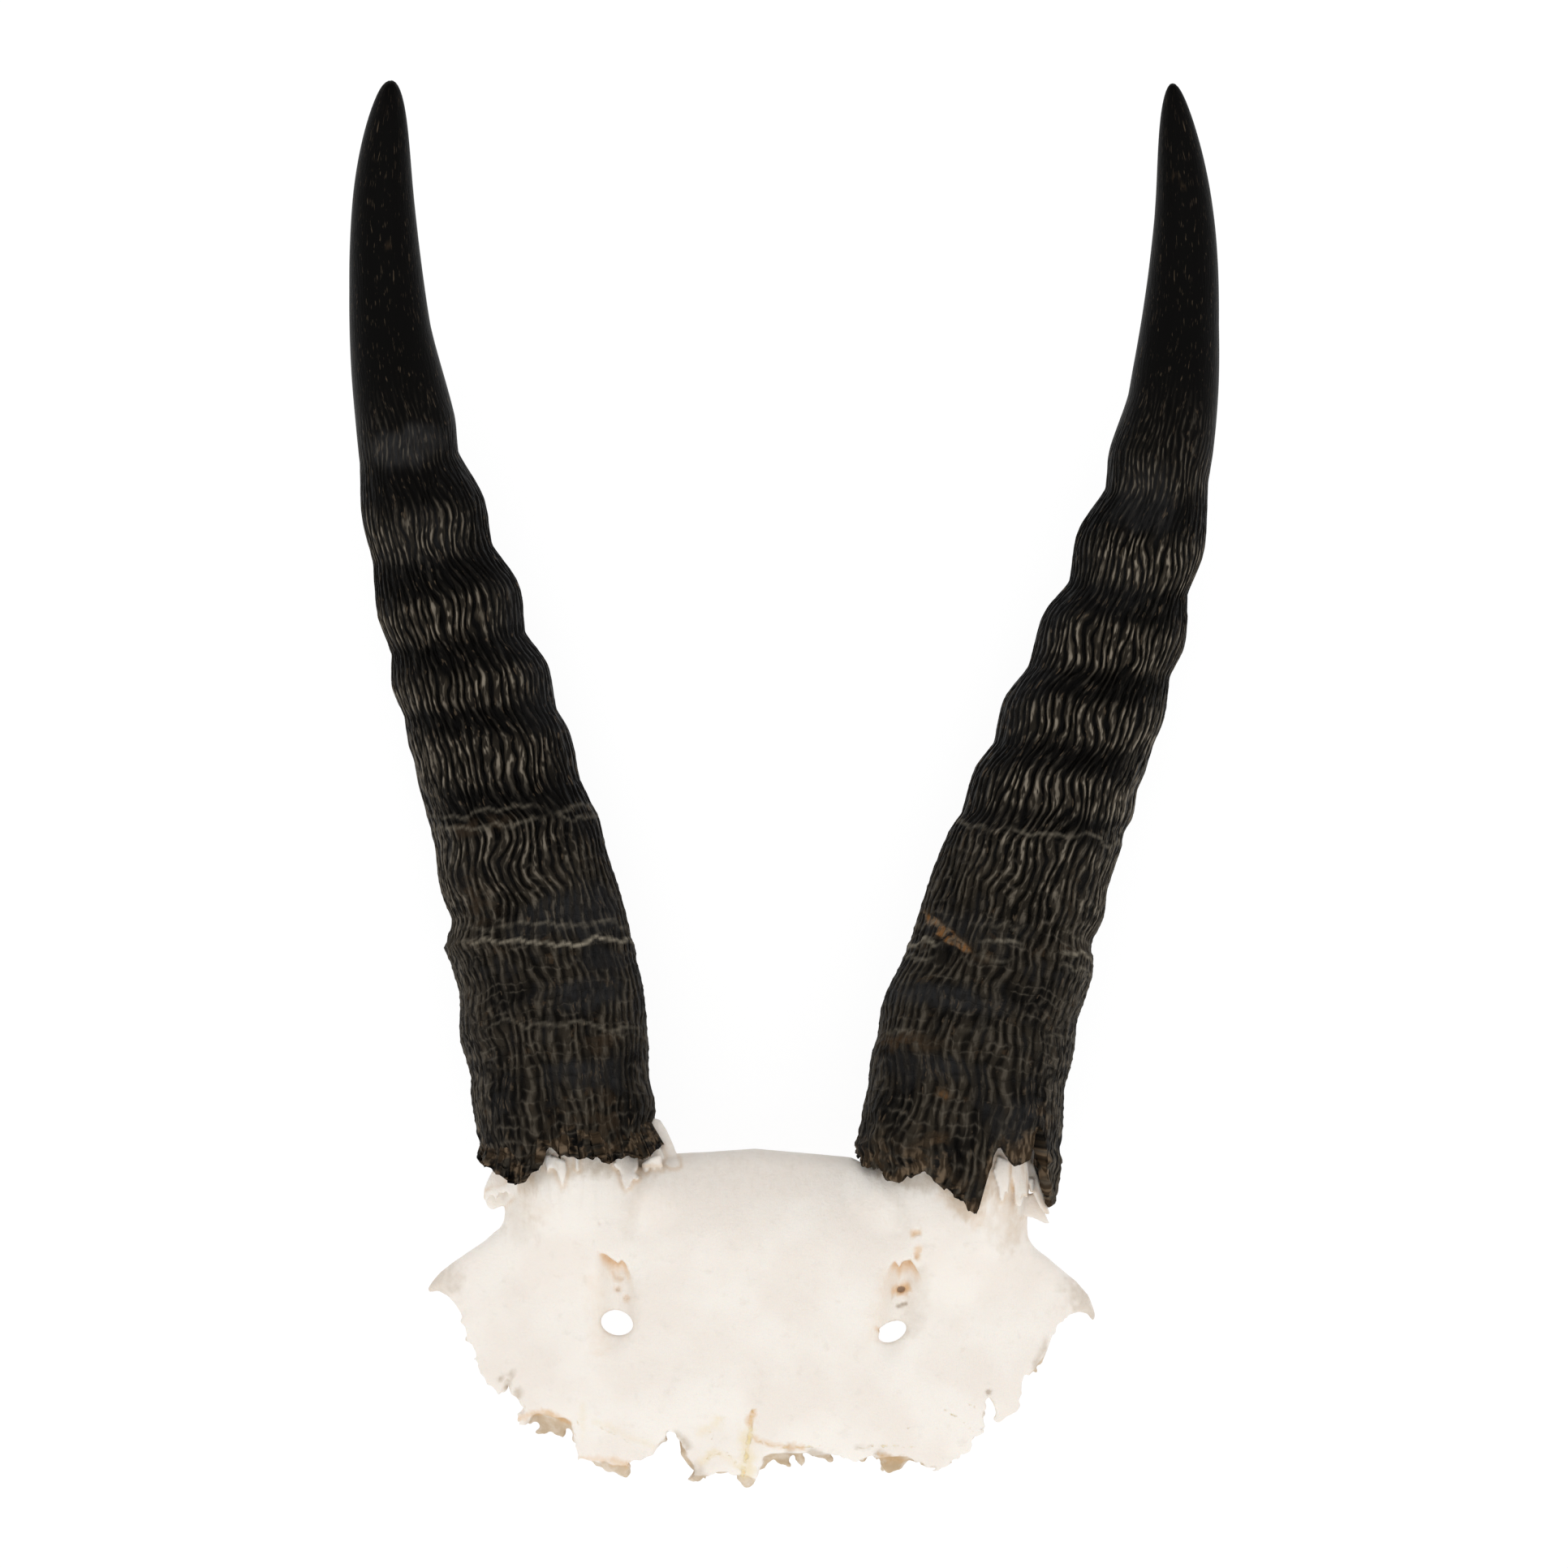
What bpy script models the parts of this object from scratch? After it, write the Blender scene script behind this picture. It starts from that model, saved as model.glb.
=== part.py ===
"""Skull plate of a mountain reedbuck, lying on its back.

It has three pieces: the frontal bone with the two horn cores that grow from it, and the two
horn sheaths, which sit on the cores.  +Z is up, and +Y runs from the bone to the horn tips.
The origin is in the middle of the footprint, on the surface that the plate lies on.
The sizes and places below are in millimetres, and add_object turns each mesh into metres.
"""

import math
from dataclasses import dataclass

import bmesh
import bpy
import numpy as np
from mathutils import Matrix, Vector

METRES_PER_MM = 0.001
WELD_DISTANCE = 0.00001

# The forehead: a vault that falls away to the sides, to the crown and to the nose
MIDLINE_X = -4.8
FOREHEAD_HEIGHT = 27.0
BROW_HALF_WIDTH = 51.0
BROW_FALL = 14.5
BROW_CURVE = 2.6
CROWN_START_Y = -73.0
CROWN_RUN = 16.0
CROWN_FALL = 8.0
NOSE_START_Y = -90.0
NOSE_RUN = 18.0
NOSE_FALL = 3.5

# The back, before it is hollowed: it rises from the floor under the wings and the nose
WING_FOOT = 36.0
WING_SLOPE = 0.5
NOSE_FOOT_Y = -86.0
NOSE_SLOPE = 0.75
THINNEST_BLOCK = 1.0

# The block that the plate is cut from: its lowest and highest corners, and its cells
BLOCK_LOW = (-60.0, -112.0)
BLOCK_HIGH = (54.0, -52.0)
BLOCK_CELLS = (34, 18)

# The hollows of the back: distance from the midline and y of the middle, and the radii in x
# and y at the floor.  Each narrows upwards, and its roof is a shell under the forehead.
EYE_SOCKET = ((43.0, -91.0), (26.0, 21.0))
BRAIN_HOLLOW = ((0.0, -61.0), (19.0, 24.0))
NASAL_HOLLOW = ((0.0, -108.0), (15.5, 20.0))
HOLLOW_FLOOR = -3.0
HOLLOW_TOP = 31.0
HOLLOW_NARROWING = 0.86
HOLLOW_SIDES = 28
ROOF_CELLS = (22, 12)
SHELL_MIDDLE = 5.0
SHELL_EDGE = 2.8

# The holes through the brow.  Each lies in a groove that runs up under the broken bone.
HOLE_FLARE = 5.5
HOLE_OVERSHOOT = 1.0
HOLE_SIDES = 14
GROOVE_START_Y = -71.0
GROOVE_END_Y = -90.0
GROOVE_RADIUS = 3.0
GROOVE_RISE = 1.8
BREAK_Y = -72.0
BREAK_RADII = (3.0, 1.9, 3.0)

# The horn cores
CORE_FOOT_Y = -84.0
CORE_MOUTH_Y = -60.0
CORE_END_Y = 0.0
CORE_FOOT_RADIUS = 8.4
CORE_NECK_RADIUS = 10.6
CORE_END_RADIUS = 5.0
CORE_SWELL_SHARE = 0.5
CORE_TAPER = 1.4
CORE_SIDES = 18
CORE_ROWS = 11

# The sheaths.  A ring is highest at RING_LEAN degrees, and lower by twice RING_ONE_SIDED
# of its height on the other side.
SHEATH_GAP = 0.4
RIM_THICKNESS = 1.3
MOUTH_DEPTH = 12.0
LOBE_REACH = 12.0
TIP_GROWTH = 1.43
TIP_POWER = 0.413
SWELL = 2.9
SWELL_START = 48.0
SWELL_RUN = 60.0
STOUT_START = 112.0
STOUT_RUN = 34.0
RING_HALF_LENGTH = 5.2
RING_SINK = 0.2
RING_LEAN = 50.0
RING_ONE_SIDED = 0.28
SHEATH_SIDES = 26
RINGED_ROW = 3.4
SMOOTH_ROW = 6.0
RINGED_END_Y = 58.0
TIP_ROWS = (4.0, 1.8, 0.6)
TIP_MARGIN = 1.0
SOCKET_ROWS = 6
SPINE_STEP = 0.5


@dataclass(frozen=True)
class Horn:
    """What differs between the two horns.

    side is -1 for the left horn and 1 for the right one.  spine lists (y, x, z) along its
    middle, from the foot of the core to the tip of the sheath.  neck and stoutness widen the
    core and the base of the sheath.  rings are the (y, height) of each growth ring.  lobes
    are the (angle, drop, half width) of the tongues of the ragged rim at rim_y, with angle 0
    on the inner side and 90 in front.  The hole through the brow below it has a place in x
    and y, and a radius.
    """

    name: str
    side: int
    spine: tuple
    neck: float
    stoutness: float
    rim_y: float
    rings: tuple
    lobes: tuple
    hole_place: tuple
    hole_radius: float


LEFT = Horn(
    name="horn_sheath_left",
    side=-1,
    spine=(
        (-84.0, -28.6, 11.5),
        (-72.0, -31.2, 15.6),
        (-60.0, -32.7, 17.2),
        (-31.0, -36.4, 14.6),
        (-7.0, -41.7, 13.3),
        (17.0, -48.9, 13.7),
        (41.0, -55.8, 16.0),
        (65.0, -60.1, 20.4),
        (89.0, -61.3, 28.0),
        (107.2, -59.9, 37.0),
    ),
    neck=0.0,
    stoutness=0.0,
    rim_y=-57.2,
    rings=(
        (53.0, 0.7), (41.0, 1.1), (27.5, 1.3), (14.7, 1.3), (5.0, 1.2), (-6.0, 0.7),
        (-16.0, 0.6), (-25.5, 1.0), (-34.5, 0.7), (-46.5, 0.7),
    ),
    lobes=((133, 4.2, 24), (60, 1.0, 30), (205, 2.5, 26), (258, 3.6, 26), (300, 2.0, 26)),
    hole_place=(-25.9, -83.2),
    hole_radius=2.2,
)
RIGHT = Horn(
    name="horn_sheath_right",
    side=1,
    spine=(
        (-84.0, 21.6, 11.5),
        (-72.0, 24.6, 15.6),
        (-60.0, 26.5, 17.6),
        (-31.0, 31.7, 15.3),
        (-7.0, 39.6, 13.5),
        (17.0, 48.8, 13.7),
        (41.0, 56.1, 16.0),
        (65.0, 60.5, 20.4),
        (89.0, 60.8, 28.0),
        (107.0, 59.1, 37.0),
    ),
    neck=1.0,
    stoutness=1.2,
    rim_y=-57.9,
    rings=(
        (48.0, 0.7), (36.0, 1.1), (23.3, 1.3), (10.8, 1.3), (1.5, 1.2), (-8.3, 0.7),
        (-18.5, 0.6), (-28.3, 1.0), (-39.5, 0.7), (-49.5, 0.7),
    ),
    lobes=((50, 3.0, 28), (103, 7.0, 24), (160, 6.0, 22), (215, 3.0, 26), (290, 3.6, 28)),
    hole_place=(16.8, -84.5),
    hole_radius=1.8,
)
HORNS = (LEFT, RIGHT)

# The ragged outline of the plate from above: down the left side, along the sutures of the
# nose, up the right side and back along the crown
OUTLINE = (
    (-41.6, -63.5), (-42.2, -67.0), (-44.2, -69.4), (-49.5, -72.6), (-53.4, -75.2),
    (-55.7, -78.5), (-52.6, -79.6), (-50.6, -82.4), (-49.8, -85.2), (-47.6, -89.6),
    (-44.6, -94.0), (-43.0, -92.6), (-40.8, -95.6), (-41.2, -98.2), (-37.0, -99.4),
    (-32.6, -100.8), (-31.0, -103.8), (-27.6, -104.8), (-24.3, -106.7), (-22.8, -103.4),
    (-18.6, -101.2), (-17.4, -99.0), (-16.4, -102.4), (-14.0, -107.2), (-9.6, -105.4),
    (-5.8, -108.3), (-2.6, -103.9), (2.8, -105.2), (6.8, -103.0), (14.4, -103.2),
    (16.6, -106.2), (20.6, -104.4), (22.6, -105.7), (28.0, -103.0), (30.8, -99.2),
    (31.6, -94.6), (33.0, -98.4), (36.4, -97.0), (37.2, -93.0), (40.6, -88.6),
    (42.6, -84.2), (46.2, -82.4), (48.6, -84.0), (48.4, -80.6), (45.0, -76.4),
    (40.2, -72.4), (37.2, -69.4), (36.4, -66.6), (31.0, -65.6), (20.0, -63.0),
    (16.0, -59.2), (12.4, -58.6), (10.4, -57.6), (5.0, -57.1), (-4.5, -56.3),
    (-12.0, -56.8), (-16.6, -57.0), (-19.0, -57.8), (-22.8, -58.6), (-27.0, -61.8),
)
OUTLINE_HEIGHT = 80.0

# Tongues of bone that stand out round the mouths of the sheaths: start, end and both radii
TONGUES = (
    ((-41.0, -60.0, 20.0), (-44.8, -65.0, 20.4), 2.4, 1.4),
    ((-17.2, -58.8, 15.5), (-18.8, -52.6, 16.0), 1.1, 0.4),
    ((34.6, -62.0, 23.0), (38.0, -68.0, 24.0), 2.4, 1.2),
    ((35.8, -62.4, 18.0), (40.0, -67.4, 18.5), 2.4, 1.4),
)
TONGUE_SIDES = 8

# Colours of the materials, linear, and their roughness
BONE_COLOUR = (0.82, 0.77, 0.68, 1.0)
BONE_ROUGHNESS = 0.72
HORN_COLOUR = (0.02, 0.017, 0.015, 1.0)
HORN_ROUGHNESS = 0.42

SHARP_ANGLE = math.radians(50)


def clear_scene():
    for item in list(bpy.data.objects):
        bpy.data.objects.remove(item)


def add_collection(name):
    collection = bpy.data.collections.new(name)
    bpy.context.scene.collection.children.link(collection)
    return collection


def add_material(name, colour, roughness):
    material = bpy.data.materials.new(name)
    material.use_nodes = True
    shader = material.node_tree.nodes["Principled BSDF"]
    shader.inputs["Base Color"].default_value = colour
    shader.inputs["Roughness"].default_value = roughness
    shader.inputs["Metallic"].default_value = 0.0
    return material


def add_object(name, bm, collection, material=None):
    """Turn a mesh in millimetres into an object in metres."""
    bmesh.ops.recalc_face_normals(bm, faces=bm.faces)
    bmesh.ops.scale(bm, vec=[METRES_PER_MM] * 3, verts=bm.verts)
    mesh = bpy.data.meshes.new(name)
    bm.to_mesh(mesh)
    bm.free()
    mesh.shade_smooth()
    mesh.set_sharp_from_angle(angle=SHARP_ANGLE)
    if material:
        mesh.materials.append(material)
    item = bpy.data.objects.new(name, mesh)
    collection.objects.link(item)
    return item


def combine(target, tool, operation):
    """Add a Boolean modifier, and show its tool as a guide only."""
    tool.hide_render = True
    tool.display_type = "WIRE"
    modifier = target.modifiers.new(f"{operation} {tool.name}", "BOOLEAN")
    modifier.operation = operation
    modifier.object = tool


def smooth_step(value):
    """Rise from 0 to 1 with level ends while the value does the same."""
    share = min(max(value, 0.0), 1.0)
    return share * share * (3.0 - 2.0 * share)


def bump(distance, half_width):
    """A rounded swell of height 1 that ends at half_width."""
    if abs(distance) >= half_width:
        return 0.0
    return 0.5 + 0.5 * math.cos(math.pi * distance / half_width)


def through(points, y):
    """Values at y on a smooth curve through points, each of which is y and then the values."""
    rows = np.array(points)
    slopes = np.gradient(rows[:, 1:], rows[:, 0], axis=0)
    last = len(rows) - 2
    index = int(np.clip(np.searchsorted(rows[:, 0], y) - 1, 0, last))
    low, high = rows[index], rows[index + 1]
    span = high[0] - low[0]
    t = (y - low[0]) / span
    bend = smooth_step(t)
    leave = t * (1.0 - t) ** 2 * span * slopes[index]
    arrive = t * t * (1.0 - t) * span * slopes[index + 1]
    return low[1:] * (1.0 - bend) + high[1:] * bend + leave - arrive


def spine_point(horn, y):
    x, z = through(horn.spine, y)
    return Vector((float(x), float(y), float(z)))


def across(horn, y):
    """Two unit vectors square to the spine: towards the midline, and to the front."""
    along = (spine_point(horn, y + SPINE_STEP) - spine_point(horn, y - SPINE_STEP)).normalized()
    inner = Vector((-horn.side, 0.0, 0.0))
    inner = (inner - inner.dot(along) * along).normalized()
    front = inner.cross(along)
    return inner, front if front.z > 0.0 else -front


def around(horn, y, radius, angle):
    """The point at an angle round the spine."""
    inner, front = across(horn, y)
    ray = inner * math.cos(angle) + front * math.sin(angle)
    return spine_point(horn, y) + ray * float(radius)


def turn(sides):
    """The angles of the corners of a ring."""
    return [2.0 * math.pi * index / sides for index in range(sides)]


def loft(rings):
    """A closed body through rings of equal length, with a flat or pointed cap at each end."""
    bm = bmesh.new()
    rows = [[bm.verts.new(point) for point in ring] for ring in rings]
    for low, high in zip(rows, rows[1:]):
        for index in range(len(low)):
            bm.faces.new((low[index - 1], low[index], high[index], high[index - 1]))
    for row in (rows[0], rows[-1]):
        middle = bm.verts.new(sum((vert.co for vert in row), Vector()) / len(row))
        for index in range(len(row)):
            bm.faces.new((row[index - 1], row[index], middle))
    return bm


def forehead(x, y):
    """Height of the outer face of the bone."""
    spread = abs(x - MIDLINE_X) / BROW_HALF_WIDTH
    crown = max(y - CROWN_START_Y, 0.0) / CROWN_RUN
    nose = max(NOSE_START_Y - y, 0.0) / NOSE_RUN
    fall = spread ** BROW_CURVE * BROW_FALL + crown ** 2 * CROWN_FALL + nose ** 2 * NOSE_FALL
    return FOREHEAD_HEIGHT - fall


def underside(x, y):
    """Height of the back of the bone before it is hollowed."""
    wing = (abs(x - MIDLINE_X) - WING_FOOT) * WING_SLOPE
    nose = (NOSE_FOOT_Y - y) * NOSE_SLOPE
    return max(wing, nose, 0.0)


def hollow_roof(x, y):
    """Height of the roofs of the hollows: the shell thins towards the wings."""
    spread = min(abs(x - MIDLINE_X) / BROW_HALF_WIDTH, 1.0)
    return forehead(x, y) - SHELL_MIDDLE + (SHELL_MIDDLE - SHELL_EDGE) * spread


def hollow_floor(x, y):
    return HOLLOW_FLOOR


def block_between(bottom, top, cells):
    """A block whose bottom and top follow two functions of x and y."""
    bm = bmesh.new()
    low, high = Vector(BLOCK_LOW), Vector(BLOCK_HIGH)
    middle = ((low + high) / 2).to_3d()
    size = (high - low).to_3d() + Vector((0.0, 0.0, 1.0))
    place = Matrix.Translation(middle) @ Matrix.Diagonal(size).to_4x4()
    bmesh.ops.create_grid(bm, x_segments=cells[0], y_segments=cells[1], size=0.5, matrix=place)
    for vert in bm.verts:
        vert.co.z = bottom(vert.co.x, vert.co.y)
    raised = bmesh.ops.extrude_face_region(bm, geom=bm.faces[:])
    for vert in raised["geom"]:
        if isinstance(vert, bmesh.types.BMVert):
            vert.co.z = max(top(vert.co.x, vert.co.y), vert.co.z + THINNEST_BLOCK)
    return bm


def outline_prism(cutters):
    """The outline as a flat curve with a thickness, made a mesh."""
    curve = bpy.data.curves.new("outline", "CURVE")
    curve.dimensions = "2D"
    curve.fill_mode = "BOTH"
    curve.extrude = OUTLINE_HEIGHT * METRES_PER_MM / 2
    spline = curve.splines.new("POLY")
    spline.points.add(len(OUTLINE) - 1)
    for point, (x, y) in zip(spline.points, OUTLINE):
        point.co = (x * METRES_PER_MM, y * METRES_PER_MM, 0.0, 1.0)
    spline.use_cyclic_u = True
    drawn = bpy.data.objects.new("outline", curve)
    cutters.objects.link(drawn)
    bpy.context.view_layer.update()
    mesh = bpy.data.meshes.new_from_object(drawn.evaluated_get(bpy.context.evaluated_depsgraph_get()))
    bpy.data.objects.remove(drawn)
    bm = bmesh.new()
    bm.from_mesh(mesh)
    bmesh.ops.remove_doubles(bm, verts=bm.verts, dist=WELD_DISTANCE)
    bmesh.ops.scale(bm, vec=[1.0 / METRES_PER_MM] * 3, verts=bm.verts)
    return add_object("outline", bm, cutters)


def hollow(name, shape, side, roof, cutters):
    """A hollow on the midline, or at its distance to one side of it, below a roof."""
    (offset, y), (half_width, half_length) = shape
    middle = Vector((MIDLINE_X + side * offset, y, (HOLLOW_FLOOR + HOLLOW_TOP) / 2))
    place = Matrix.Translation(middle) @ Matrix.Diagonal((half_width, half_length, 1.0)).to_4x4()
    bm = bmesh.new()
    bmesh.ops.create_cone(
        bm, cap_ends=True, segments=HOLLOW_SIDES, radius1=1.0, radius2=HOLLOW_NARROWING,
        depth=HOLLOW_TOP - HOLLOW_FLOOR, matrix=place,
    )
    cutter = add_object(name, bm, cutters)
    combine(cutter, roof, "INTERSECT")
    return cutter


def rod(name, start, end, start_radius, end_radius, sides, cutters):
    """A tapered rod between two points."""
    start, end = Vector(start), Vector(end)
    axis = end - start
    bm = bmesh.new()
    place = Matrix.Translation((start + end) / 2) @ axis.to_track_quat("Z", "Y").to_matrix().to_4x4()
    bmesh.ops.create_cone(
        bm, cap_ends=True, segments=sides, radius1=start_radius, radius2=end_radius,
        depth=axis.length, matrix=place,
    )
    return add_object(name, bm, cutters)


def brow_hole(horn, cutters):
    """The hole through the brow, which widens into the eye socket."""
    x, y = horn.hole_place
    low, high = (x, y, HOLLOW_FLOOR), (x, y, forehead(x, y) + HOLE_OVERSHOOT)
    return rod(f"hole {horn.side}", low, high, HOLE_FLARE, horn.hole_radius, HOLE_SIDES, cutters)


def groove(horn, cutters):
    """The shallow groove that the hole lies in."""
    x = horn.hole_place[0]
    ends = [(x, end, forehead(x, end) + GROOVE_RISE) for end in (GROOVE_START_Y, GROOVE_END_Y)]
    return rod(f"groove {horn.side}", *ends, GROOVE_RADIUS, GROOVE_RADIUS, HOLE_SIDES, cutters)


def broken_bone(horn, cutters):
    """The torn opening at the top of the groove."""
    x = horn.hole_place[0]
    place = Matrix.Translation((x, BREAK_Y, forehead(x, BREAK_Y)))
    bm = bmesh.new()
    bmesh.ops.create_icosphere(
        bm, subdivisions=2, radius=1.0, matrix=place @ Matrix.Diagonal(BREAK_RADII).to_4x4()
    )
    return add_object(f"break {horn.side}", bm, cutters)


def core_radius(horn, y):
    """The core swells from its foot to its neck, and tapers inside the sheath."""
    neck = CORE_NECK_RADIUS + horn.neck
    if y < CORE_MOUTH_Y:
        share = (y - CORE_FOOT_Y) / (CORE_MOUTH_Y - CORE_FOOT_Y)
        return CORE_FOOT_RADIUS + (neck - CORE_FOOT_RADIUS) * smooth_step(share / CORE_SWELL_SHARE)
    share = (y - CORE_MOUTH_Y) / (CORE_END_Y - CORE_MOUTH_Y)
    return neck + (CORE_END_RADIUS - neck) * share ** CORE_TAPER


def horn_core(horn, cutters):
    rows = np.linspace(CORE_FOOT_Y, CORE_END_Y, CORE_ROWS)
    angles = turn(CORE_SIDES)
    rings = [[around(horn, y, core_radius(horn, y), angle) for angle in angles] for y in rows]
    return add_object(f"core {horn.side}", loft(rings), cutters)


def frontal_bone(parts, cutters, material):
    """The plate, with its cores joined on and its hollows and holes cut out."""
    bone = add_object("skull_plate", block_between(underside, forehead, BLOCK_CELLS), parts, material)
    roof = add_object("roof", block_between(hollow_floor, hollow_roof, ROOF_CELLS), cutters)
    combine(bone, outline_prism(cutters), "INTERSECT")
    for horn in HORNS:
        combine(bone, horn_core(horn, cutters), "UNION")
    for index, (start, end, start_radius, end_radius) in enumerate(TONGUES):
        tongue = rod(f"tongue {index}", start, end, start_radius, end_radius, TONGUE_SIDES, cutters)
        combine(bone, tongue, "UNION")
    combine(bone, hollow("brain hollow", BRAIN_HOLLOW, 0, roof, cutters), "DIFFERENCE")
    combine(bone, hollow("nasal hollow", NASAL_HOLLOW, 0, roof, cutters), "DIFFERENCE")
    for horn in HORNS:
        socket = hollow(f"eye socket {horn.side}", EYE_SOCKET, horn.side, roof, cutters)
        for cutter in (socket, brow_hole(horn, cutters), groove(horn, cutters), broken_bone(horn, cutters)):
            combine(bone, cutter, "DIFFERENCE")
    return bone


def sheath_radius(horn, y, angle):
    """The sheath widens from its tip, and swells at each growth ring, most on its inner front."""
    reach = max(horn.spine[-1][0] - y, 0.0)
    radius = TIP_GROWTH * reach ** TIP_POWER
    radius += SWELL * smooth_step((reach - SWELL_START) / SWELL_RUN)
    radius += horn.stoutness * smooth_step((reach - STOUT_START) / STOUT_RUN)
    lean = 1.0 - RING_ONE_SIDED * (1.0 - math.cos(angle - math.radians(RING_LEAN)))
    swell = sum(height * bump(y - ring_y, RING_HALF_LENGTH) for ring_y, height in horn.rings)
    return radius + lean * (swell - RING_SINK)


def rim_drop(horn, angle):
    """How far the ragged rim hangs below its line at an angle."""
    drop = 0.0
    for lobe_angle, depth, half_width in horn.lobes:
        apart = (math.degrees(angle) - lobe_angle + 180.0) % 360.0 - 180.0
        drop = max(drop, depth * bump(apart, half_width))
    return drop


def sheath_rows(horn):
    """Heights of the rings of the outside, close together where the horn is ringed."""
    tip = horn.spine[-1][0]
    rows = list(np.arange(horn.rim_y, RINGED_END_Y, RINGED_ROW))
    rows += list(np.arange(rows[-1] + SMOOTH_ROW, tip - TIP_ROWS[0] - TIP_MARGIN, SMOOTH_ROW))
    return rows + [tip - row for row in TIP_ROWS]


def socket_radius(horn, y, angle):
    """The core's own taper, with a gap, that flares out to the thin rim."""
    snug = core_radius(horn, y) + SHEATH_GAP
    open_mouth = sheath_radius(horn, y, angle) - RIM_THICKNESS
    flare = max(1.0 - (y - horn.rim_y) / MOUTH_DEPTH, 0.0)
    return snug + (open_mouth - snug) * min(flare, 1.0) ** 2


def horn_sheath(horn, parts, material):
    """One body: up the outside to the tip, and from the rim up the inside of the socket."""
    angles = turn(SHEATH_SIDES)

    def ring(y, radius_at):
        share = max(1.0 - (y - horn.rim_y) / LOBE_REACH, 0.0)
        levels = [y - share * rim_drop(horn, angle) for angle in angles]
        return [
            around(horn, level, radius_at(horn, level, angle), angle)
            for level, angle in zip(levels, angles)
        ]

    outside = [ring(y, sheath_radius) for y in sheath_rows(horn)]
    socket_end = CORE_END_Y + 2.0 * SHEATH_GAP
    inside = [ring(y, socket_radius) for y in np.linspace(socket_end, horn.rim_y, SOCKET_ROWS)]
    return add_object(horn.name, loft(inside + outside), parts, material)


def main():
    clear_scene()
    parts = add_collection("mountain reedbuck skull plate")
    cutters = add_collection("guides")
    bone = add_material("bone", BONE_COLOUR, BONE_ROUGHNESS)
    keratin = add_material("horn", HORN_COLOUR, HORN_ROUGHNESS)
    frontal_bone(parts, cutters, bone)
    for horn in HORNS:
        horn_sheath(horn, parts, keratin)


main()
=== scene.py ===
"""Looks of the mountain reedbuck skull plate.

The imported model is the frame.  The bone plate and both horn sheaths are modelled again over
their nodes, with their fine surface, and take procedural finishes.  Places and sizes are in
millimetres in the frame's own axes, and become metres when a mesh is made.
"""

import logging
import math
from dataclasses import dataclass
from enum import Enum
from functools import partial, reduce
from typing import Callable

import bpy
import numpy as np
import openvdb
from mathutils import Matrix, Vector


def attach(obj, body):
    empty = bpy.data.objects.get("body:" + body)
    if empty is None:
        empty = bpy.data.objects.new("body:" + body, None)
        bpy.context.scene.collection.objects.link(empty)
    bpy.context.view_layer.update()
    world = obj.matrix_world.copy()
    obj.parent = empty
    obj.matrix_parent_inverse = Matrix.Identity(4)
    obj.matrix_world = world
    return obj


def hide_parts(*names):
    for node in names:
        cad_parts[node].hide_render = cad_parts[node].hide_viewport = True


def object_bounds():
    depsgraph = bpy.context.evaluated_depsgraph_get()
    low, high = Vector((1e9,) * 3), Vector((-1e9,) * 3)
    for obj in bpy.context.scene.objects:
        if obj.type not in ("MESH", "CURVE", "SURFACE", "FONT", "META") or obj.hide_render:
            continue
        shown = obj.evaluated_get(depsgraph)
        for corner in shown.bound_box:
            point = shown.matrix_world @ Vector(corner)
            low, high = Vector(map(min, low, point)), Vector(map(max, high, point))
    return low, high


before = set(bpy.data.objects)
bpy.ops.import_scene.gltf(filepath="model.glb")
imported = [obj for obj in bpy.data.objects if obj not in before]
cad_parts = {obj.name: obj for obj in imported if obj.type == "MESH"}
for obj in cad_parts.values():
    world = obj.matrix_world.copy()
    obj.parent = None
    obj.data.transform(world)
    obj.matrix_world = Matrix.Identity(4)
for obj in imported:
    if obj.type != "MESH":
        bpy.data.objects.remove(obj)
CAD_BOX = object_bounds()

logging.basicConfig(level=logging.INFO, format="%(message)s")
LOG = logging.getLogger("skull plate")

METRES = 0.001
BODY = "root"
MOST_TRIANGLES = 190_000

Points = tuple[tuple[float, ...], ...]
Colour = tuple[float, float, float, float]
Span = tuple[float, float]
Socket = bpy.types.NodeSocket
Value = Socket | float | tuple[float, ...]
Field = Callable[..., np.ndarray]


class Mark(str, Enum):
    """Names of the attributes that the meshes carry for their finishes."""

    GRAIN = "grain"
    ZONE = "zone"
    TONE = "tone"
    SWELL = "swell"
    LINE = "line"
    MOUTH = "mouth"
    # Stains, and painted shade where shade falls, as amber, brown and straw shares.
    STAIN_AND_SHADE = "stain"
    SUTURE = "suture"
    LAYER = "layer"


class Edge(Enum):
    """How a stretch of the plate's outline ends: rounded smooth, or broken ragged."""

    WORN = 0.0
    BROKEN = 1.0


class Tone(Enum):
    """What marks a patch of horn: smoothed slate grey with a painted sheen, or crusted with earthy scurf."""

    RUBBED_AND_SHEEN = 0
    EARTHY = 1


class Tint(Enum):
    """What colours the bone: amber at its breaks, a brown shade, or yellow straw. Amber and brown are also
    laid on as painted shade under the sheath rims, on the groove walls, in notches, at the wing tips and
    round the flakes.
    """

    AMBER = 0
    SHADE = 1
    STRAW = 2


def smooth_step(value: np.ndarray) -> np.ndarray:
    """Rise from 0 to 1 with level ends while the value does the same."""
    share = np.clip(value, 0.0, 1.0)
    return share * share * (3.0 - 2.0 * share)


def fade(value: np.ndarray, start: float, end: float) -> np.ndarray:
    """Rise from 0 to 1 with level ends while the value goes from start to end."""
    return smooth_step((value - start) / (end - start))


def bump(distance: np.ndarray, below: float, above: float) -> np.ndarray:
    """A rounded swell of height 1 with its own half length on each side of 0."""
    half = np.where(distance < 0.0, below, above)
    return 0.5 + 0.5 * np.cos(np.pi * np.clip(distance / half, -1.0, 1.0))


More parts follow.
